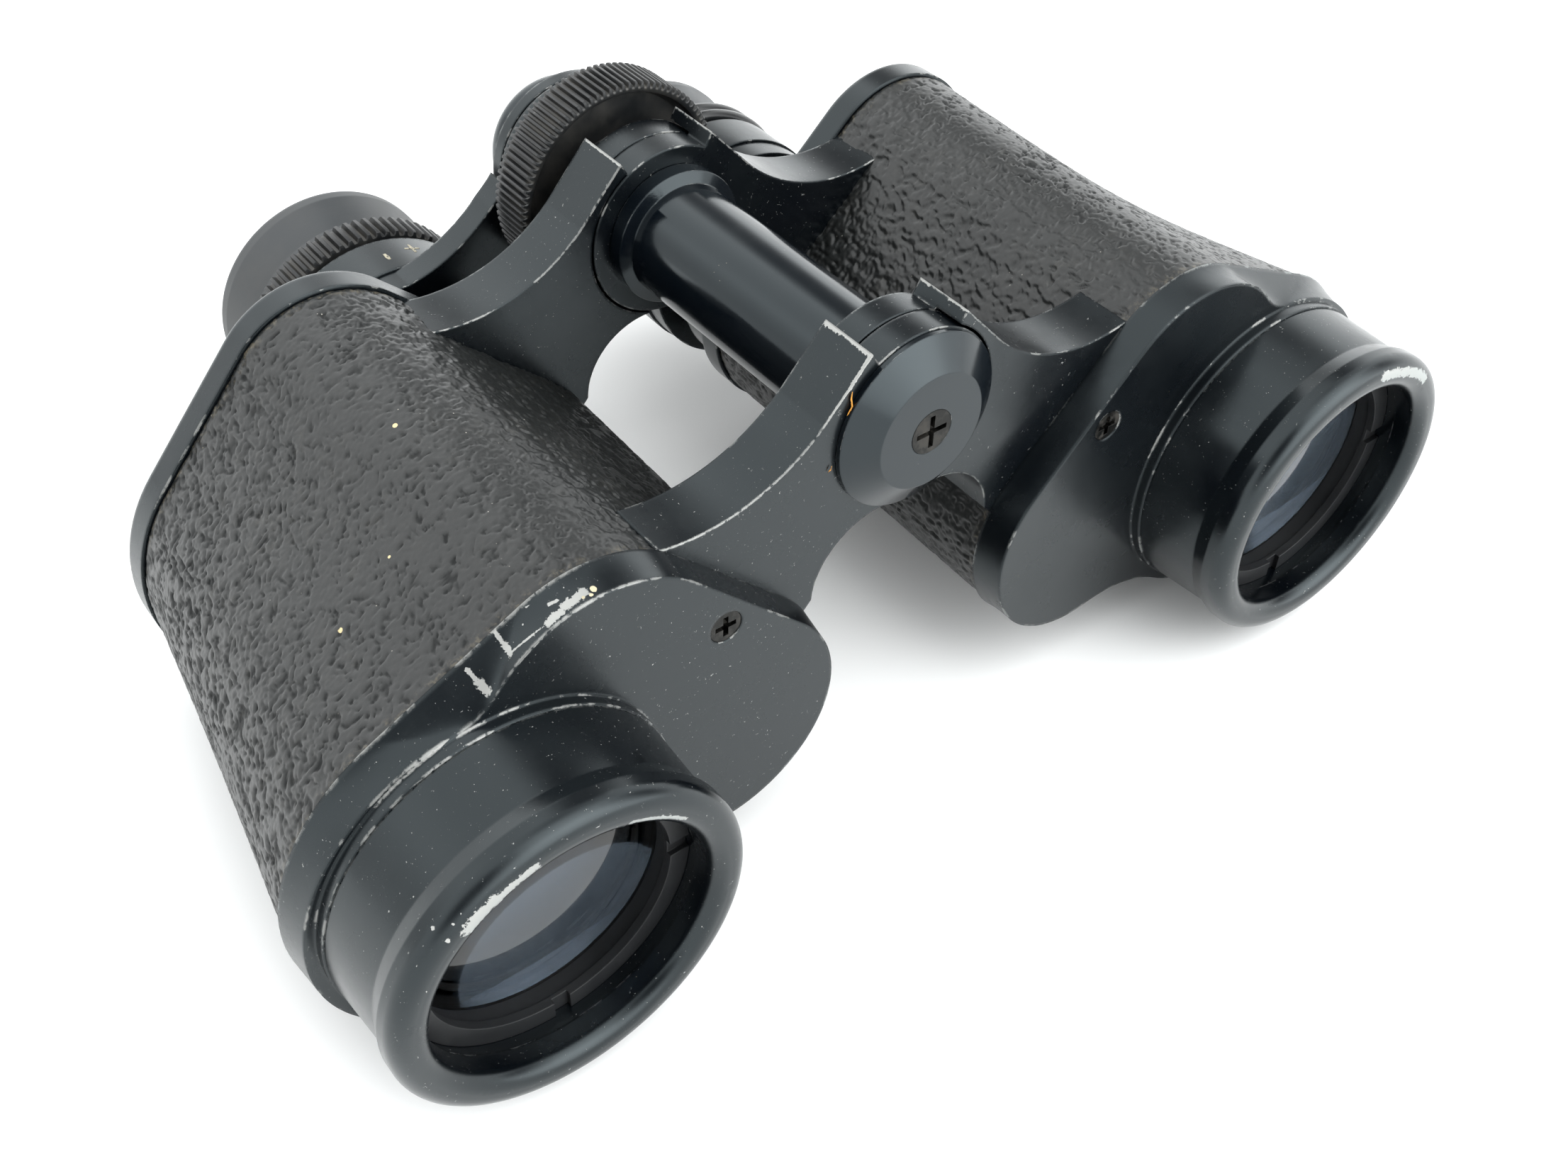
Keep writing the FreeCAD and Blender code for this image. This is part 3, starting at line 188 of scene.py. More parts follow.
def enamel(name, black=0.0016, rough=0.23, wear=1.0, edge=0.45, chips=(), rubbed=(), blots=(), dust=0.5):
    """Black enamel on metal: soft edges (edge, in mm), bare lines worn along them, chips and dust.

    chips: ragged bare strokes; rubbed: lengths where the sharp edges are bare; blots: cream dirt."""
    s = Shader(name)
    blotch = s.noise(90.0, 4.0, 0.6)
    grain = s.noise(900.0, 3.0, 0.6)
    fine = s.noise(5200.0, 2.0, 0.5)
    ragged = s.noise(1300.0, 5.0, 0.7)
    tint = s.mix(blotch, (black * 0.30, black * 0.75, black * 1.45), (black * 1.1, black * 1.5, black * 2.0))
    sharp = s.edges(edge * MM)
    scuff = s.ramp(s.noise(230.0, 4.0, 0.62), 0.50, 0.64)
    line = s.math("MULTIPLY", s.math("MULTIPLY", scuff, wear), s.ramp(ragged, 0.30, 0.55))
    if rubbed:
        worn = s.math("MULTIPLY", strokes(s, rubbed), s.ramp(ragged, 0.40, 0.58, 0.0, 1.0))
        line = s.math("MAXIMUM", line, s.math("MULTIPLY", worn, 2.2))
    bare = s.ramp(s.math("MULTIPLY", sharp, line), 0.07, 0.11)
    if chips:
        splinters = s.math("MULTIPLY", s.noise(3600.0, 4.0, 0.7), 1.9)
        frayed = s.math("ADD", s.math("MULTIPLY", ragged, 1.6), splinters)
        torn = s.math("ADD", strokes(s, chips, 0.1), s.math("SUBTRACT", frayed, 1.75))
        bare = s.math("MAXIMUM", bare, s.ramp(torn, 0.42, 0.52))
    motes = s.ramp(s.cells(1150.0), 0.085, 0.05)
    motes = s.math("MULTIPLY", motes, s.ramp(s.noise(160.0, 2.0), 0.62, 0.72))
    motes = s.math("MULTIPLY", motes, dust)
    color = s.mix(motes, tint, DUST)
    color = s.mix(bare, color, BARE)
    if blots:
        wander = s.math("MULTIPLY", s.math("SUBTRACT", ragged, 0.5), 1.2)
        spot = s.math("ADD", strokes(s, blots, 0.2), wander)
        color = s.mix(s.ramp(spot, 0.50, 0.62), color, CREAM_DIRT)
    s.set("Base Color", color)
    s.set("Metallic", s.math("MULTIPLY", bare, 0.75))
    satin = s.ramp(blotch, 0.25, 0.75, rough - 0.05, rough + 0.07)
    satin = s.math("ADD", satin, s.math("MULTIPLY", grain, 0.05))
    s.set("Roughness", s.math("ADD", satin, s.math("MULTIPLY", bare, 0.15)))
    relief = s.math("ADD", s.math("MULTIPLY", fine, 0.25), s.math("MULTIPLY", grain, 0.6))
    relief = s.math("SUBTRACT", relief, s.math("MULTIPLY", bare, 2.2))
    s.set("Normal", s.bump(relief, 0.012 * MM, 0.6, s.soft(edge * MM)))
    s.bsdf.inputs["IOR"].default_value = COATING_IOR
    s.bsdf.inputs["Specular Tint"].default_value = COOL_SHINE
    return s.material


def matt(name, black=0.0045, rough=0.5):
    """Anodised or blackened metal with fine turning lines."""
    s = Shader(name)
    blotch = s.noise(160.0, 4.0, 0.6)
    dark = (black, black * 1.1, black * 1.35)
    light = (black * 2, black * 2.1, black * 2.3)
    s.set("Base Color", s.mix(blotch, dark, light))
    s.set("Roughness", s.ramp(blotch, 0.2, 0.8, rough - 0.08, rough + 0.1))
    lines = s.noise(2400.0, 2.0, 0.5, stretch=(0.05, 1.0, 0.05))
    s.set("Normal", s.bump(s.math("ADD", lines, s.noise(3600.0, 2.0)), 0.008 * MM, 0.6, s.soft(0.2 * MM)))
    return s.material


def moulded(name, black=0.026, rough=0.42):
    """Smooth black moulding with a dusty bloom."""
    s = Shader(name)
    blotch = s.noise(120.0, 5.0, 0.65)
    bloom = s.math("MULTIPLY", s.ramp(s.noise(60.0, 6.0, 0.7), 0.45, 0.75), 0.25)
    color = s.mix(blotch, (black * 0.8, black, black * 1.15), (black * 1.7, black * 1.75, black * 1.8))
    s.set("Base Color", s.mix(bloom, color, (0.07, 0.068, 0.062)))
    s.set("Roughness", s.ramp(blotch, 0.2, 0.8, rough - 0.06, rough + 0.1))
    lines = s.noise(1500.0, 3.0, 0.6, stretch=(0.08, 1.0, 0.08))
    s.set("Normal", s.bump(s.math("ADD", lines, s.noise(2600.0, 3.0)), 0.012 * MM, 0.6, s.soft(0.4 * MM)))
    return s.material


def knurled(name, rough=0.42):
    """Matt black ring; its valleys hold dust."""
    s = Shader(name)
    depth = s.attribute("valley")
    blotch = s.noise(230.0, 4.0, 0.6)
    dusty = s.math("MULTIPLY", depth, s.ramp(blotch, 0.35, 0.75, 0.0, 0.55))
    color = s.mix(blotch, (0.0045, 0.0055, 0.0066), (0.010, 0.0105, 0.0110))
    rubbed = s.ramp(s.math("MULTIPLY", s.math("SUBTRACT", 1.0, depth), s.noise(700.0, 5.0, 0.7)), 0.60, 0.72)
    rubbed = s.math("MULTIPLY", rubbed, 0.35)
    color = s.mix(dusty, color, (0.075, 0.068, 0.055))
    s.set("Base Color", s.mix(rubbed, color, (0.16, 0.158, 0.15)))
    s.set("Metallic", s.math("MULTIPLY", rubbed, 0.6))
    s.set("Roughness", s.ramp(blotch, 0.2, 0.8, rough - 0.08, rough + 0.12))
    s.set("Normal", s.bump(s.noise(2600.0, 4.0, 0.6), 0.015 * MM, 0.7, s.soft(0.12 * MM)))
    return s.material


def leather(name, specks=()):
    """Black pitted covering: pits between smooth swellings darkened with painted shade, dirt at the rims,
    pale specks.
    """
    s = Shader(name)
    valley = s.attribute("valley")
    rim = s.attribute("rim")
    blotch = s.noise(55.0, 5.0, 0.62)
    fine = s.noise(2600.0, 4.0, 0.65)
    color = s.mix(blotch, (0.0060, 0.0070, 0.0072), (0.0150, 0.0158, 0.0152))
    # painted shade: the colour is darker in the pits of the grain (valley mask)
    color = s.mix(s.ramp(valley, 0.25, 0.85), color, (0.0040, 0.0048, 0.0050))
    haze = s.ramp(s.noise(420.0, 6.0, 0.75), 0.50, 0.72)
    haze = s.math("MULTIPLY", haze, s.ramp(blotch, 0.35, 0.75, 0.02, 0.25))
    color = s.mix(haze, color, (0.085, 0.080, 0.068))
    dirt = s.math("MULTIPLY", rim, s.ramp(s.noise(900.0, 5.0, 0.75), 0.47, 0.66))
    color = s.mix(s.math("MULTIPLY", dirt, 0.7), color, (0.17, 0.145, 0.10))
    motes = s.ramp(s.cells(900.0), 0.095, 0.05)
    motes = s.math("MULTIPLY", motes, s.ramp(s.noise(120.0, 3.0), 0.56, 0.68))
    color = s.mix(s.math("MULTIPLY", motes, 0.8), color, (0.36, 0.34, 0.30))
    if specks:
        color = s.mix(strokes(s, specks, 0.8), color, (0.62, 0.50, 0.27))
    s.set("Base Color", color)
    s.set("Roughness", s.ramp(s.math("ADD", valley, s.math("MULTIPLY", fine, 0.5)), 0.2, 1.3, 0.36, 0.62))
    # painted shade: weaker reflection in the pits of the grain
    s.set("Specular IOR Level", s.ramp(valley, 0.15, 0.85, 0.54, 0.24))
    s.set("Normal", s.bump(s.math("ADD", fine, s.math("MULTIPLY", s.cells(1500.0), 0.6)), 0.020 * MM, 0.7))
    s.bsdf.inputs["IOR"].default_value = COATING_IOR
    return s.material


def glass(name, color, rough=0.01):
    s = Shader(name)
    smear = s.noise(140.0, 5.0, 0.7)
    s.set("Base Color", s.mix(smear, color, tuple(0.93 * c for c in color)))
    s.set("Roughness", s.ramp(smear, 0.3, 0.9, rough, rough + 0.06))
    s.bsdf.inputs["Transmission Weight"].default_value = 1.0
    s.bsdf.inputs["IOR"].default_value = 1.52
    s.bsdf.inputs["Specular IOR Level"].default_value = 0.42
    s.bsdf.inputs["Specular Tint"].default_value = WARM_SHINE
    return s.material


def metal(name, color, rough=0.38, dirt=0.5):
    """Bare or blackened metal with grime."""
    s = Shader(name)
    grime = s.ramp(s.noise(520.0, 5.0, 0.7), 0.42, 0.68)
    grime = s.math("MULTIPLY", grime, dirt)
    s.set("Base Color", s.mix(grime, color, (0.028, 0.024, 0.018)))
    s.set("Metallic", s.math("SUBTRACT", 1.0, grime))
    s.set("Roughness", s.ramp(grime, 0.0, 1.0, rough, 0.75))
    s.set("Normal", s.bump(s.noise(3000.0, 3.0), 0.01 * MM, 0.6, s.soft(0.1 * MM)))
    return s.material


def paint(name, color):
    s = Shader(name)
    worn = s.ramp(s.noise(1800.0, 5.0, 0.7), 0.52, 0.60)
    s.set("Base Color", s.mix(worn, color, (0.02, 0.02, 0.02)))
    s.set("Roughness", s.ramp(s.noise(900.0), 0.2, 0.8, 0.5, 0.75))
    return s.material


# ---------------------------------------------------------------- mesh helpers

def new_piece(name, points, faces, material, body, stands_for=(), smooth=True, layers=None):
    mesh = bpy.data.meshes.new(name)
    mesh.from_pydata([tuple(p) for p in points], [], [tuple(int(k) for k in f) for f in faces])
    mesh.validate()
    for key, numbers in (layers or {}).items():
        layer = mesh.attributes.new(key, "FLOAT", "POINT")
        layer.data.foreach_set("value", np.asarray(numbers, np.float32))
    mesh.materials.append(material)
    if smooth:
        mesh.shade_smooth()
    piece = bpy.data.objects.new(name, mesh)
    SCENE.collection.objects.link(piece)
    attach(piece, body)
    if stands_for:
        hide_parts(*stands_for)
    return piece


def grid_faces(rows, columns, wrap_rows=False):
    """Quads of a grid with its columns, and perhaps its rows, closed on themselves."""
    r = np.arange(rows if wrap_rows else rows - 1)
    c = np.arange(columns)
    r, c = np.meshgrid(r, c, indexing="ij")
    r2, c2 = (r + 1) % rows, (c + 1) % columns
    quads = np.stack([r * columns + c, r * columns + c2, r2 * columns + c2, r2 * columns + c], -1)
    return quads.reshape(-1, 4)


def axis_of(node):
    """x and z of a turned node's axis, which lies along Y."""
    low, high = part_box(node)
    return (low.x + high.x) / 2, (low.z + high.z) / 2


TOOTH_STEPS = 6
TOOTH_SHARE = 0.45
FEWEST_COLUMNS = 96
PLAIN_VALLEY = 0.35


def lathe(name, node, outline, teeth, material, body):
    """Ring about a node's axis. outline: (radius mm, y mm, tooth depth mm), closed on itself."""
    x, z = axis_of(node)
    columns = max(teeth * TOOTH_STEPS, FEWEST_COLUMNS)
    angles = np.arange(columns) * 2 * math.pi / columns
    wave = np.zeros(columns)
    if teeth:
        phase = (np.arange(columns) % TOOTH_STEPS) / TOOTH_STEPS
        wave = np.where((phase >= TOOTH_SHARE), 1.0, 0.0)
    points, valley = [], []
    for radius, y, depth in outline:
        r = (radius - depth * wave) * MM
        row = [x + r * np.sin(angles), np.full(columns, y * MM), z + r * np.cos(angles)]
        points.append(np.stack(row, -1))
        valley.append(wave if depth > 0 else np.full(columns, PLAIN_VALLEY if teeth else 0.0))
    points = np.concatenate(points)
    faces = grid_faces(len(outline), columns, True)[:, ::-1]
    return new_piece(name, points, faces, material, body, (node,), smooth=False,
                     layers={"valley": np.concatenate(valley)})


def smooth_by_angle(piece, degrees):
    mesh = piece.data
    mesh.shade_smooth()
    mesh.set_sharp_from_angle(angle=math.radians(degrees))


# ---------------------------------------------------------------- materials on the CAD nodes

AXLE_Z = axis_of("axle_tube")[1]
NEAR = axis_of("right_objective_tube")
FAR = axis_of("left_objective_tube")


def lip_arc(axis, radius, first, last, y, steps=5):
    """Points on a circle about an axis along Y, in mm; 0 degrees is up, 90 towards +X."""
    turns = [math.radians(first + (last - first) * k / steps) for k in range(steps + 1)]
    return [(axis[0] / MM + radius * math.sin(t), y, axis[1] / MM + radius * math.cos(t)) for t in turns]


# Wear in mm, in the frame's axes: (radius, point, point, ...), or (radius, point) for a spot.

# Near front cover: two long chips down its flank, the torn patch on top, and the thin line between them.
near_chips = [
    (0.40, (-55.1, -38.3, 51.9), (-54.9, -39.6, 51.1)),
    (0.62, (-54.9, -39.8, 51.0), (-54.8, -41.0, 50.5)),
    (0.42, (-58.9, -39.1, 49.3), (-58.6, -40.1, 48.6)),
    (0.78, (-58.5, -40.6, 48.4), (-58.3, -41.7, 48.0)),
    (0.26, (-54.9, -40.9, 50.6), (-52.9, -41.4, 52.0), (-50.8, -41.7, 53.0)),
    (0.80, (-50.8, -41.7, 53.1), (-49.2, -41.6, 53.7)),
    (0.95, (-48.6, -41.4, 53.9), (-46.2, -41.3, 54.3)),
    (0.34, (-49.6, -40.1, 53.7), (-48.8, -40.3, 53.9)),
    (0.24, (-51.4, -38.7, 53.2), (-50.6, -38.8, 53.5)),
    (0.22, (-48.6, -38.9, 54.0), (-48.3, -39.5, 54.0)),
    (0.20, (-47.4, -39.4, 54.2)),
    (0.17, (-52.6, -39.8, 52.4)),
    (0.16, (-53.6, -39.2, 52.1))]
near_rubbed = [
    (1.2, (-54.9, -42.0, 51.2), (-50.8, -42.2, 53.2), (-45.0, -42.2, 54.4)),
    (0.8, (-54.8, -38.2, 51.9), (-50.2, -38.2, 53.9), (-45.6, -38.2, 54.7)),
    (0.8, (-70.0, -42.2, 42.5), (-64.0, -42.2, 45.5), (-59.5, -42.4, 48.0))]
near_blots = [(0.70, (-45.2, -41.4, 54.4)), (0.42, (-45.8, -41.9, 54.2)), (0.34, (-46.6, -41.7, 54.2))]

# Front hinge arms and rear ones: their tips, then the edges that run down from them.
near_arm_chips = [
    (0.62, (-7.1, -30.6, 64.4), (-6.9, -34.0, 64.6), (-7.0, -38.0, 64.5)),
    (0.42, (-7.0, -38.1, 64.5), (-9.9, -38.2, 61.2)),
    (0.30, (-9.9, -38.2, 61.2), (-13.5, -38.2, 57.6)),
    (0.26, (-17.0, -38.2, 55.0), (-23.0, -38.2, 52.4)),
    (0.30, (-7.0, 10.0, 64.5), (-7.0, 17.4, 64.5))]
near_arm_rubbed = [
    (1.5, (-7.1, -30.6, 64.4), (-6.9, -33.4, 64.6), (-7.0, -38.0, 64.5)),
    (1.3, (-7.0, -38.0, 64.5), (-9.9, -38.2, 61.2), (-13.5, -38.2, 57.6)),
    (1.3, (-15.5, -38.2, 56.0), (-22.0, -38.2, 52.6), (-28.0, -38.2, 51.3), (-35.0, -38.2, 51.6)),
    (1.0, (-7.1, 10.0, 64.4), (-13.2, 9.8, 57.7), (-20.0, 9.8, 53.5)),
    (1.1, (-7.0, 10.0, 64.5), (-7.0, 17.4, 64.5))]
far_arm_chips = [
    (0.62, (7.0, -38.2, 64.6), (7.0, -35.4, 64.6)),
    (0.55, (7.0, -31.8, 64.6), (7.0, -30.4, 64.6)),
    (0.30, (7.0, -35.4, 64.6), (7.0, -31.8, 64.6)),
    (0.34, (7.0, 10.0, 64.5), (7.0, 13.5, 64.5))]
far_arm_rubbed = [
    (1.5, (7.0, -38.0, 64.6), (7.0, -30.4, 64.6)),
    (0.8, (7.0, -38.2, 64.6), (13.2, -38.2, 57.7)),
    (1.2, (7.0, 10.0, 64.5), (7.0, 17.4, 64.5)),
    (0.9, (7.0, 9.8, 64.5), (13.2, 9.8, 57.7))]

# Objective tubes: worn crescents on the lips, and the foot where each tube meets its cover.
LIP_FRONT = -58.7
FOOT_RADIUS = 21.5
FOOT_Y = -45.0
near_lip_chips = [
    (1.45, *lip_arc(NEAR, 19.1, -37, -26, LIP_FRONT, 4)),
    (0.95, *lip_arc(NEAR, 19.0, -27, -12, LIP_FRONT, 4)),
    (0.50, *lip_arc(NEAR, 18.4, 22, 46, -58.6, 6)),
    (0.36, (-74.3, -57.2, 39.5)),
    (0.42, (-73.6, -58.6, 38.5)),
    (0.30, (-71.9, -58.7, 39.6)),
    (0.28, (-72.7, -58.3, 40.0))]
near_foot_rubbed = [(1.3, *lip_arc(NEAR, FOOT_RADIUS, -75, 50, FOOT_Y, 9))]
far_lip_chips = [(1.15, *lip_arc(FAR, 19.8, 8, 42, -58.6)), (0.22, *lip_arc(FAR, 20.8, -50, -20, -58.0))]
far_foot_rubbed = [(1.1, *lip_arc(FAR, FOOT_RADIUS, -40, -10, FOOT_Y, 4))]

# Pale specks stuck to the near covering.
near_specks = [
    (0.34, (-48.9, -7.7, 55.1)),
    (0.38, (-65.1, -22.8, 45.3)),
    (0.24, (-57.5, -20.7, 50.0)),
    (0.22, (-63.5, 15.7, 43.5))]

ENAMEL = enamel("black_enamel_casting", edge=0.5)
ENAMEL_NEAR_ARM = enamel("black_enamel_right_hinge", chips=near_arm_chips, rubbed=near_arm_rubbed)
ENAMEL_FAR_ARM = enamel("black_enamel_left_hinge", chips=far_arm_chips, rubbed=far_arm_rubbed)
ENAMEL_COVER = enamel("black_enamel_cover", edge=0.6)
ENAMEL_NEAR = enamel("black_enamel_cover_chipped", edge=0.6, chips=near_chips, rubbed=near_rubbed,
                     blots=near_blots)
ENAMEL_TUBE = enamel("black_enamel_tube", rough=0.20, edge=0.4, chips=near_lip_chips,
                     rubbed=near_foot_rubbed)
ENAMEL_TUBE_FAR = enamel("black_enamel_tube_far", rough=0.20, edge=0.4, chips=far_lip_chips,
                         rubbed=far_foot_rubbed)
GLOSS = enamel("gloss_black_enamel", black=0.003, rough=0.10, edge=0.25, wear=0.5, dust=0.8)
MATT = matt("anodised_black")
MOULDED = moulded("black_moulding")
KNURLED = knurled("knurled_black_metal")
RIDGED = moulded("black_moulding_glossy", 0.005, 0.22)
LEATHER = leather("pebbled_leatherette")
LEATHER_NEAR = leather("pebbled_leatherette_specked", near_specks)
LENS = glass("coated_objective_glass", (0.42, 0.50, 0.60))
PRISM = glass("prism_glass", (0.95, 0.97, 0.97))
STEEL = metal("blackened_screw_steel", (0.022, 0.022, 0.021), 0.34, 0.7)
BRASS = metal("sprung_brass", (0.45, 0.34, 0.16), 0.42, 0.3)
CREAM = paint("cream_scale_paint", (0.42, 0.38, 0.28))

BY_SLOT = {"black_enamel": ENAMEL, "gloss_enamel": GLOSS, "leatherette": LEATHER,
           "moulded_black": MOULDED, "knurled_black": KNURLED, "inner_black": MATT,
           "coated_glass": LENS, "prism_glass": PRISM, "dark_steel": STEEL, "spring_brass": BRASS}
SLOT_OF = {row["node"]: row["material_slot"] for row in frame["record"]["subparts"]}
SPECIAL = {"right_front_cover": ENAMEL_NEAR, "left_front_cover": ENAMEL_COVER,
           "right_rear_cover": ENAMEL_COVER, "left_rear_cover": ENAMEL_COVER,
           "right_objective_tube": ENAMEL_TUBE, "left_objective_tube": ENAMEL_TUBE_FAR,
           "right_prism_housing": ENAMEL_NEAR_ARM, "left_prism_housing": ENAMEL_FAR_ARM,
           "bridge_dome_nut": GLOSS}
for label, node in NODES.items():
    material = SPECIAL.get(label, BY_SLOT[SLOT_OF[label]])
    if len(node.material_slots) == 0:
        node.data.materials.append(material)
    for slot in node.material_slots:
        slot.material = material


# ---------------------------------------------------------------- leatherette

def scatter(cell, seed):
    """A repeatable number from 0 to 1 for each cell of a lattice."""
    code = (cell[:, 0] * 73856093) ^ (cell[:, 1] * 19349663) ^ (cell[:, 2] * 83492791) ^ (seed * 7919)
    for _ in range(3):
        code = (code * 1103515245 + 12345) & 0x7FFFFFFF
        code ^= code >> 13
    return ((code >> 7) & 0xFFFF) / 65535.0


def swell(points, size, seed):
    """Smooth noise from 0 to 1 with bumps of one size (mm, or one for each axis)."""
    place = points / np.array(size)
    base = np.floor(place).astype(np.int64)
    part = place - base
    part = part * part * (3 - 2 * part)
    total = np.zeros(len(points))
    for dx in (0, 1):
        for dy in (0, 1):
            for dz in (0, 1):
                weight = np.ones(len(points))
                for axis, corner in enumerate((dx, dy, dz)):
                    weight *= part[:, axis] if corner else 1 - part[:, axis]
                total += weight * scatter(base + (dx, dy, dz), seed)
    return total


def step_up(value, low, high):
    share = np.clip((value - low) / (high - low), 0, 1)
    return share * share * (3 - 2 * share)


# Sizes in mm of the bumps in the pressed pattern, along its three axes.
BROAD = (1.05, 0.80, 0.92)
MIDDLE = (0.52, 0.42, 0.46)
SMALL = (0.34, 0.34, 0.34)
LONG = (0.70, 1.35, 0.56)
PATCH = (9.0, 9.0, 9.0)
COS_TURN, SIN_TURN = 0.8, 0.6


def grain(p, normal, side):
    """Height from 0 to 1 of the pressed pattern: swellings with pits, longer creases on the flanks."""
    turned = np.stack([p[:, 0] * COS_TURN + p[:, 1] * SIN_TURN, p[:, 1] * COS_TURN - p[:, 0] * SIN_TURN,
                       p[:, 2]], -1)
    warp = turned + 0.5 * np.sin(turned[:, [1, 2, 0]] * 1.7 + 0.9)
    broad = swell(warp, BROAD, 3)
    middle = swell(warp + 11.0, MIDDLE, 5)
    small = swell(turned + 5.0, SMALL, 8)
    pits = step_up(0.45 * broad + 0.55 * middle, 0.20, 0.52)
    long_ = swell(p + 0.35 * np.sin(p[:, [1, 2, 0]] * 2.1), LONG, 21)
    creases = step_up(0.65 * long_ + 0.35 * middle, 0.22, 0.62)
    inner = step_up(-normal[:, 0] * side, 0.10, 0.50)
    outer = step_up(normal[:, 0] * side, 0.45, 0.85) * 0.9
    share = np.maximum(inner, outer)
    height = pits * (1 - share) + creases * share
    patchy = swell(p, PATCH, 31)
    height = 1 - (1 - height) * (0.45 + 0.5 * patchy + 0.30 * share)
    return np.clip(0.80 * height + 0.20 * small, 0, 1.05)


def outline_pieces(circles, side):
    """Arcs and tangent lines round three circles, in order round the outline: see sample()."""
    order = circles if side > 0 else circles[::-1]
    centres = [np.array([side * c[0], c[1]]) for c in order]
    radii = [c[2] for c in order]
    leave, arrive = [None] * 3, [None] * 3
    for i in range(3):
        j = (i + 1) % 3
        along = centres[j] - centres[i]
        span = np.linalg.norm(along)
        along /= span
        outward = np.array([along[1], -along[0]])
        lean = (radii[i] - radii[j]) / span
        normal = along * lean + outward * math.sqrt(1 - lean ** 2)
        leave[i] = math.atan2(normal[1], normal[0])
        arrive[j] = leave[i]
    pieces = []
    for i in range(3):
        first, last = arrive[i], leave[i]
        if last < first:
            last += 2 * math.pi
        turn = np.array([first, last])
        pieces.append(("arc", centres[i], radii[i], turn))
        j = (i + 1) % 3
        end = np.array([math.cos(leave[i]), math.sin(leave[i])])
        pieces.append(("line", centres[i] + radii[i] * end, centres[j] + radii[j] * end, None))
    return pieces


def sample(piece, t):
    """Points of one arc or line at shares t, from 0 to 1, of its length."""
    if piece[0] == "arc":
        turn = piece[3][0] + (piece[3][1] - piece[3][0]) * t
        return piece[1] + piece[2] * np.stack([np.cos(turn), np.sin(turn)], -1)
    return piece[1] + (piece[2] - piece[1]) * t[:, None]


# Circles (x, z from the axle, radius) that the housing's outline goes round, in mm, less the step
# down from the covers to the covering.
STEP = 0.3
FRONT_OUTLINE = [(59.9, -29.3, 23.5 - STEP), (45.0, -14.4, 16.5 - STEP), (28.8, -29.3, 15.6 - STEP)]
REAR_OUTLINE = [(51.8, -30.1, 22.7 - STEP), (45.5, -9.9, 14.1 - STEP), (29.0, -27.6, 15.9 - STEP)]
PITCH, QUICK_PITCH = 0.2, 0.5
GRAIN_DEPTH = 0.36
GRAIN_TOP = 1.1
TUCK_WIDTH, TUCK_DEPTH = 0.9, 0.22
DIRT_WIDTH = 1.6
SKIN = 0.35


def covering(side_name, side, material):
    """Pebbled skin over the housing, from the front cover to the rear one."""
    node = side_name + "_leatherette"
    low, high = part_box(node)
    pitch = PITCH
    ring_front, ring_rear = [], []
    for a, b in zip(outline_pieces(FRONT_OUTLINE, side), outline_pieces(REAR_OUTLINE, side)):
        rough = sample(a, np.linspace(0, 1, 9))
        count = max(3, int(np.linalg.norm(np.diff(rough, axis=0), axis=1).sum() / pitch))
        t = np.arange(count) / count
        ring_front.append(sample(a, t))
        ring_rear.append(sample(b, t))
    ring_front, ring_rear = np.concatenate(ring_front), np.concatenate(ring_rear)
    columns = len(ring_front)
    y_front, y_rear = low.y / MM, high.y / MM
    rows = int((y_rear - y_front) / pitch)
    share = np.linspace(0, 1, rows)
    flat = ring_front[None] * (1 - share[:, None, None]) + ring_rear[None] * share[:, None, None]
    points = np.empty((rows, columns, 3))
    points[..., 0] = flat[..., 0]
    points[..., 1] = (y_front + (y_rear - y_front) * share)[:, None]
    points[..., 2] = flat[..., 1] + AXLE_Z / MM
    across = np.roll(points, -1, 1) - np.roll(points, 1, 1)
    along = np.gradient(points, axis=0)
    normal = np.cross(across, along)
    normal /= np.linalg.norm(normal, axis=-1, keepdims=True)
    centre = points.mean(axis=(0, 1))
    if ((points - centre) * normal).sum() < 0:
        normal = -normal
    p = points.reshape(-1, 3)
    height = grain(p, normal.reshape(-1, 3), side)
    # valley: depth of the grain, weaker on the inner flank; the leather material darkens the pits with it as
    # painted shade
    flank = step_up(-normal.reshape(-1, 3)[:, 0] * side, 0.05, 0.45)
    valley = np.clip(1 - height, 0, 1) * (1 - 0.7 * flank)
    from_edge = np.minimum(points[..., 1] - y_front, y_rear - points[..., 1]).reshape(-1)
    tuck = np.clip(from_edge / TUCK_WIDTH, 0, 1)
    lift = (height - GRAIN_TOP) * GRAIN_DEPTH * (0.4 + 0.6 * tuck) - (1 - tuck) ** 2 * TUCK_DEPTH
    skin = p + normal.reshape(-1, 3) * lift[:, None]
    faces = grid_faces(rows, columns)
    a, b, c = (skin[faces[0][k]] for k in range(3))
    if np.dot(np.cross(b - a, c - a), normal.reshape(-1, 3)[faces[0][0]]) < 0:
        faces = faces[:, ::-1]
    rim = np.clip(1 - from_edge / DIRT_WIDTH, 0, 1)
    piece = new_piece(side_name + "_leatherette_skin", skin * MM, faces, material, side_name + "_barrel",
                      (node,), layers={"valley": valley, "rim": rim})
    thick = piece.modifiers.new("thickness", "SOLIDIFY")
    thick.thickness = SKIN * MM
    thick.offset = -1


covering("right", -1, LEATHER_NEAR)
covering("left", 1, LEATHER)


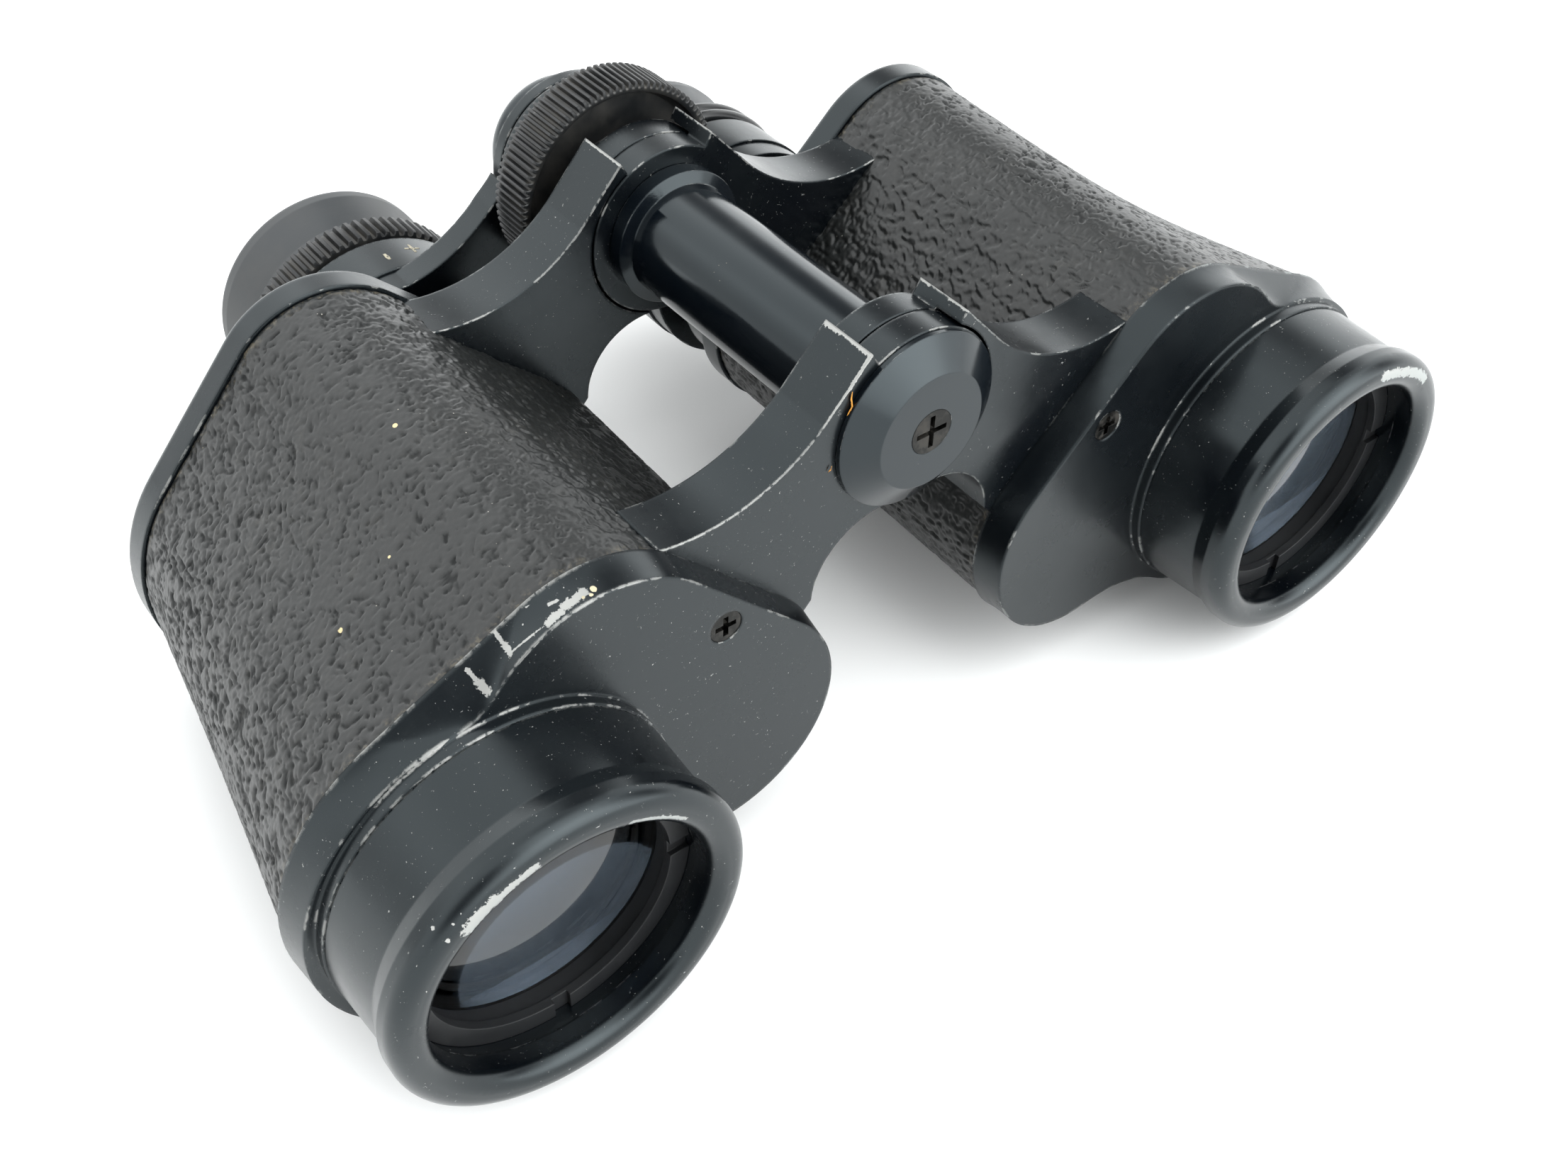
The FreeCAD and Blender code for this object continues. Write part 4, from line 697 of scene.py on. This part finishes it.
def fibre(name, points, radius, material, body):
    """A loose thread through the given points (mm)."""
    points = [Vector(p) for p in points]
    ring, rows = 6, len(points)
    skin = []
    for k, point in enumerate(points):
        along = (points[min(k + 1, rows - 1)] - points[max(k - 1, 0)]).normalized()
        side = along.orthogonal().normalized()
        other = along.cross(side)
        thin = radius * (0.35 if k in (0, rows - 1) else 1.0)
        for n in range(ring):
            turn = 2 * math.pi * n / ring
            skin.append((point + (side * math.cos(turn) + other * math.sin(turn)) * thin) * MM)
    faces = [tuple(f) for f in grid_faces(rows, ring)]
    faces += [tuple(range(ring))[::-1], tuple(range((rows - 1) * ring, rows * ring))]
    return new_piece(name, skin, faces, material, body)


ORANGE = paint("orange_fibre", (0.55, 0.24, 0.03))
fibre("caught_fibre", [(-9.6, -38.35, 60.9), (-9.75, -38.4, 60.0), (-9.6, -38.45, 59.0),
                       (-9.85, -38.5, 58.3), (-9.75, -38.6, 57.6)], 0.11, ORANGE, "right_barrel")
fibre("caught_fibre_end", [(-9.7, -38.45, 58.9), (-10.1, -38.5, 58.3), (-10.25, -38.45, 58.0)],
      0.09, ORANGE, "right_barrel")
fibre("fibre_crumb", [(-12.5, -38.35, 51.0), (-12.2, -38.45, 51.3), (-12.0, -38.4, 51.7)],
      0.10, ORANGE, "right_barrel")


# ---------------------------------------------------------------- knurled rings

def mm_box(node):
    low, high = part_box(node)
    return low / MM, high / MM


# Teeth stand out to the outer radius, and their depth fades over the rounded corners.
WHEEL_TEETH, WHEEL_WIDTH = 96, 7.0
WHEEL_R, WHEEL_BORE, HUB_R = 15.3, 4.3, 7.4
WELL_R, WELL_DEPTH = 13.8, 2.2
WHEEL_CUT = 0.55
SHARP_DEGREES = 28


def focus_wheel():
    front = mm_box("focus_wheel")[1].y - WHEEL_WIDTH
    back = front + WHEEL_WIDTH
    wheel = lathe("focus_wheel_knurled", "focus_wheel", [
        (WHEEL_BORE, front - 1.0, 0), (HUB_R - 0.5, front - 1.0, 0), (HUB_R, front - 0.5, 0),
        (HUB_R, front + WELL_DEPTH, 0), (WELL_R - 0.6, front + WELL_DEPTH, 0), (WELL_R, front + 1.5, 0),
        (WELL_R + 0.1, front + 0.15, 0), (WELL_R + 0.4, front, 0),
        (WHEEL_R - 0.55, front, 0.3), (WHEEL_R - 0.15, front + 0.12, 0.5), (WHEEL_R, front + 0.4, WHEEL_CUT),
        (WHEEL_R, front + 3.3, WHEEL_CUT), (WHEEL_R, back - 0.5, WHEEL_CUT),
        (WHEEL_R - 0.15, back - 0.15, 0.5), (WHEEL_R - 0.6, back, 0.3),
        (WELL_R + 0.4, back, 0), (WHEEL_BORE, back, 0)],
        WHEEL_TEETH, KNURLED, "focus_wheel")
    smooth_by_angle(wheel, SHARP_DEGREES)


RING_TEETH, RING_CUT = 76, 0.7
RING_R, RING_BORE, RING_SEAT, RING_LEDGE = 17.4, 11.4, 12.4, 1.9


def dioptre_ring():
    low, high = mm_box("right_dioptre_ring")
    front, back = low.y, high.y
    ring = lathe("right_dioptre_ring_knurled", "right_dioptre_ring", [
        (RING_BORE, front, 0), (RING_R - 0.9, front, 0), (RING_R - 0.55, front + 0.05, 0.2),
        (RING_R - 0.15, front + 0.2, 0.6), (RING_R, front + 0.5, RING_CUT), (RING_R, back - 0.5, RING_CUT),
        (RING_R - 0.15, back - 0.2, 0.6), (RING_R - 0.6, back - 0.02, 0.2), (RING_R - 1.0, back, 0),
        (RING_R - 1.6, back, 0), (RING_SEAT, back, 0), (RING_SEAT, front + RING_LEDGE, 0),
        (RING_BORE, front + RING_LEDGE, 0)],
        RING_TEETH, KNURLED, "dioptre_grip")
    smooth_by_angle(ring, SHARP_DEGREES)


RIDGE_R, RIDGE_OUT, RIDGE_HALF, RIDGE_PITCH = 16.2, 1.2, 1.15, 2.4


def ridged_ring():
    low, high = mm_box("left_eyepiece_ring")
    front, back = low.y, high.y
    outline = [(RING_BORE, front, 0), (RIDGE_R - 0.8, front, 0)]
    for k in range(2):
        start = front + 0.1 + RIDGE_PITCH * k
        for degrees in range(0, 181, 20):
            turn = math.radians(degrees)
            y = start + RIDGE_HALF - RIDGE_HALF * math.cos(turn)
            outline.append((RIDGE_R + RIDGE_OUT * math.sin(turn), y, 0))
    outline += [(RIDGE_R - 0.6, back, 0), (RING_SEAT, back, 0), (RING_SEAT, front + RING_LEDGE, 0),
                (RING_BORE, front + RING_LEDGE, 0)]
    ring = lathe("left_eyepiece_ring_ridged", "left_eyepiece_ring", outline, 0, RIDGED, "left_eyepiece")
    smooth_by_angle(ring, 50)


focus_wheel()
dioptre_ring()
ridged_ring()


# ---------------------------------------------------------------- marks on the scale ring

SCALE_R = 16.9
PAINT_UNDER, PAINT_OVER = -0.05, 0.035
MARK_STEPS = 6


def mark(name, axis, lines, body):
    """Shallow painted strokes on a ring: each is (degrees, y, degrees, y, half width mm)."""
    points, faces = [], []
    steps, radius = MARK_STEPS, SCALE_R
    for turn, y, last_turn, last_y, wide in lines:
        span = Vector(((last_turn - turn) * radius * math.pi / 180, last_y - y))
        side = Vector((-span.y, span.x)).normalized() * wide
        start = len(points)
        for k in range(steps + 1):
            share = k / steps
            uneven = 0.12 * math.sin(9.1 * share + turn)
            taper = 0.55 + 0.45 * math.sin(math.pi * (0.15 + 0.7 * share)) + uneven
            for sign in (-1, 1):
                along = math.radians(turn + (last_turn - turn) * share) + sign * side.x * taper / radius
                for height in (PAINT_UNDER, PAINT_OVER):
                    r = radius + height
                    points.append(((axis[0] / MM + r * math.sin(along)) * MM,
                                   (y + (last_y - y) * share + sign * side.y * taper) * MM,
                                   (axis[1] / MM + r * math.cos(along)) * MM))
        for k in range(steps):
            a, b = start + 4 * k, start + 4 * k + 4
            faces += [(a + 1, b + 1, b + 3, a + 3), (a, a + 2, b + 2, b), (a, b, b + 1, a + 1),
                      (a + 2, a + 3, b + 3, b + 2)]
        end = start + 4 * steps
        faces += [(start, start + 1, start + 3, start + 2), (end, end + 2, end + 3, end + 1)]
    return new_piece(name, points, faces, CREAM, body)


RIGHT_EYE = axis_of("right_scale_ring")
low, high = mm_box("right_scale_ring")
middle = (low.y + high.y) / 2 + 0.6
mark("scale_plus", RIGHT_EYE, [(19.2, middle - 1.1, 19.2, middle + 1.1, 0.20),
                               (15.4, middle, 23.0, middle, 0.20)], "right_eyepiece")
mark("scale_dot", RIGHT_EYE, [(4.4, middle - 1.9, 4.2, middle - 0.3, 0.26)], "right_eyepiece")


# ---------------------------------------------------------------- studio

ROOM_LIGHT = 1.95
# (degrees round from +Y towards +X, degrees up, half width in degrees, light added or taken away)
LOBES = ((35, 22, 50, 0.5), (42, 38, 23, -2.1), (-50, 12, 26, -0.6), (-50, 34, 22, 0.25),
         (-135, 40, 34, -1.7), (116, 25, 25, -1.5), (160, 12, 50, 2.3), (75, 64, 30, -0.8),
         (150, 50, 45, 1.8))
FLOOR_REACH = 6.0


def studio():
    """Even white room with brighter and darker patches, and a floor of white paper."""
    world = bpy.data.worlds.new("studio")
    world.use_nodes = True
    SCENE.world = world
    tree = world.node_tree
    coords = tree.nodes.new("ShaderNodeTexCoord")

    def lobe(degrees_round, degrees_up, width, gain):
        """Adds light, or takes it away, round one direction of the room."""
        turn, lift = math.radians(degrees_round), math.radians(degrees_up)
        aim = (math.sin(turn) * math.cos(lift), math.cos(turn) * math.cos(lift), math.sin(lift))
        near = tree.nodes.new("ShaderNodeVectorMath")
        near.operation = "DOT_PRODUCT"
        near.inputs[1].default_value = aim
        tree.links.new(coords.outputs["Generated"], near.inputs[0])
        fade = tree.nodes.new("ShaderNodeMapRange")
        fade.interpolation_type = "SMOOTHSTEP"
        for name, number in (("From Min", math.cos(math.radians(width))), ("From Max", 1.0), ("To Min", 0.0),
                             ("To Max", gain)):
            fade.inputs[name].default_value = number
        tree.links.new(near.outputs["Value"], fade.inputs["Value"])
        return fade.outputs["Result"]

    total = None
    for part in LOBES:
        light = lobe(*part)
        add = tree.nodes.new("ShaderNodeMath")
        add.operation = "ADD"
        if total is None:
            add.inputs[0].default_value = ROOM_LIGHT
        else:
            tree.links.new(total, add.inputs[0])
        tree.links.new(light, add.inputs[1])
        total = add.outputs[0]
    background = tree.nodes["Background"]
    background.inputs["Color"].default_value = (0.975, 0.995, 1.0, 1.0)
    tree.links.new(total, background.inputs["Strength"])

    mesh = bpy.data.meshes.new("floor")
    reach = FLOOR_REACH
    mesh.from_pydata([(-reach, -reach, 0), (reach, -reach, 0), (reach, reach, 0), (-reach, reach, 0)], [],
                     [(0, 1, 2, 3)])
    s = Shader("white_paper")
    s.set("Base Color", s.mix(s.noise(3.0), (0.93, 0.93, 0.925), (0.95, 0.95, 0.945)))
    s.bsdf.inputs["Roughness"].default_value = 0.8
    s.bsdf.inputs["Specular IOR Level"].default_value = 0.1
    mesh.materials.append(s.material)
    floor = bpy.data.objects.new("floor", mesh)
    SCENE.collection.objects.link(floor)


LENS_MM, SENSOR_MM = 39.11, 36.0
AZIMUTH, ELEVATION, ROLL = -39.14, 44.15, 1.85
DISTANCE = 216.56
TARGET = (-9.04, -27.09, 22.36)


def camera():
    """Camera that looks at a target (mm) from a distance (mm), an azimuth and an elevation."""
    turn, lift, roll = (math.radians(a) for a in (AZIMUTH, ELEVATION, ROLL))
    back = Vector((math.sin(turn) * math.cos(lift), -math.cos(turn) * math.cos(lift), math.sin(lift)))
    right = Vector((0, 0, 1)).cross(back).normalized()
    up = back.cross(right)
    across = right * math.cos(roll) + up * math.sin(roll)
    upward = -right * math.sin(roll) + up * math.cos(roll)
    data = bpy.data.cameras.new("camera")
    data.sensor_width = SENSOR_MM
    data.lens = LENS_MM
    data.clip_start = 0.005
    item = bpy.data.objects.new("camera", data)
    target = Vector(TARGET) * MM
    basis = Matrix((across, upward, back)).transposed().to_4x4()
    item.matrix_world = Matrix.Translation(target + back * DISTANCE * MM) @ basis
    SCENE.collection.objects.link(item)
    SCENE.camera = item


studio()
camera()
SCENE.view_settings.view_transform = "Standard"
SCENE.view_settings.look = "None"
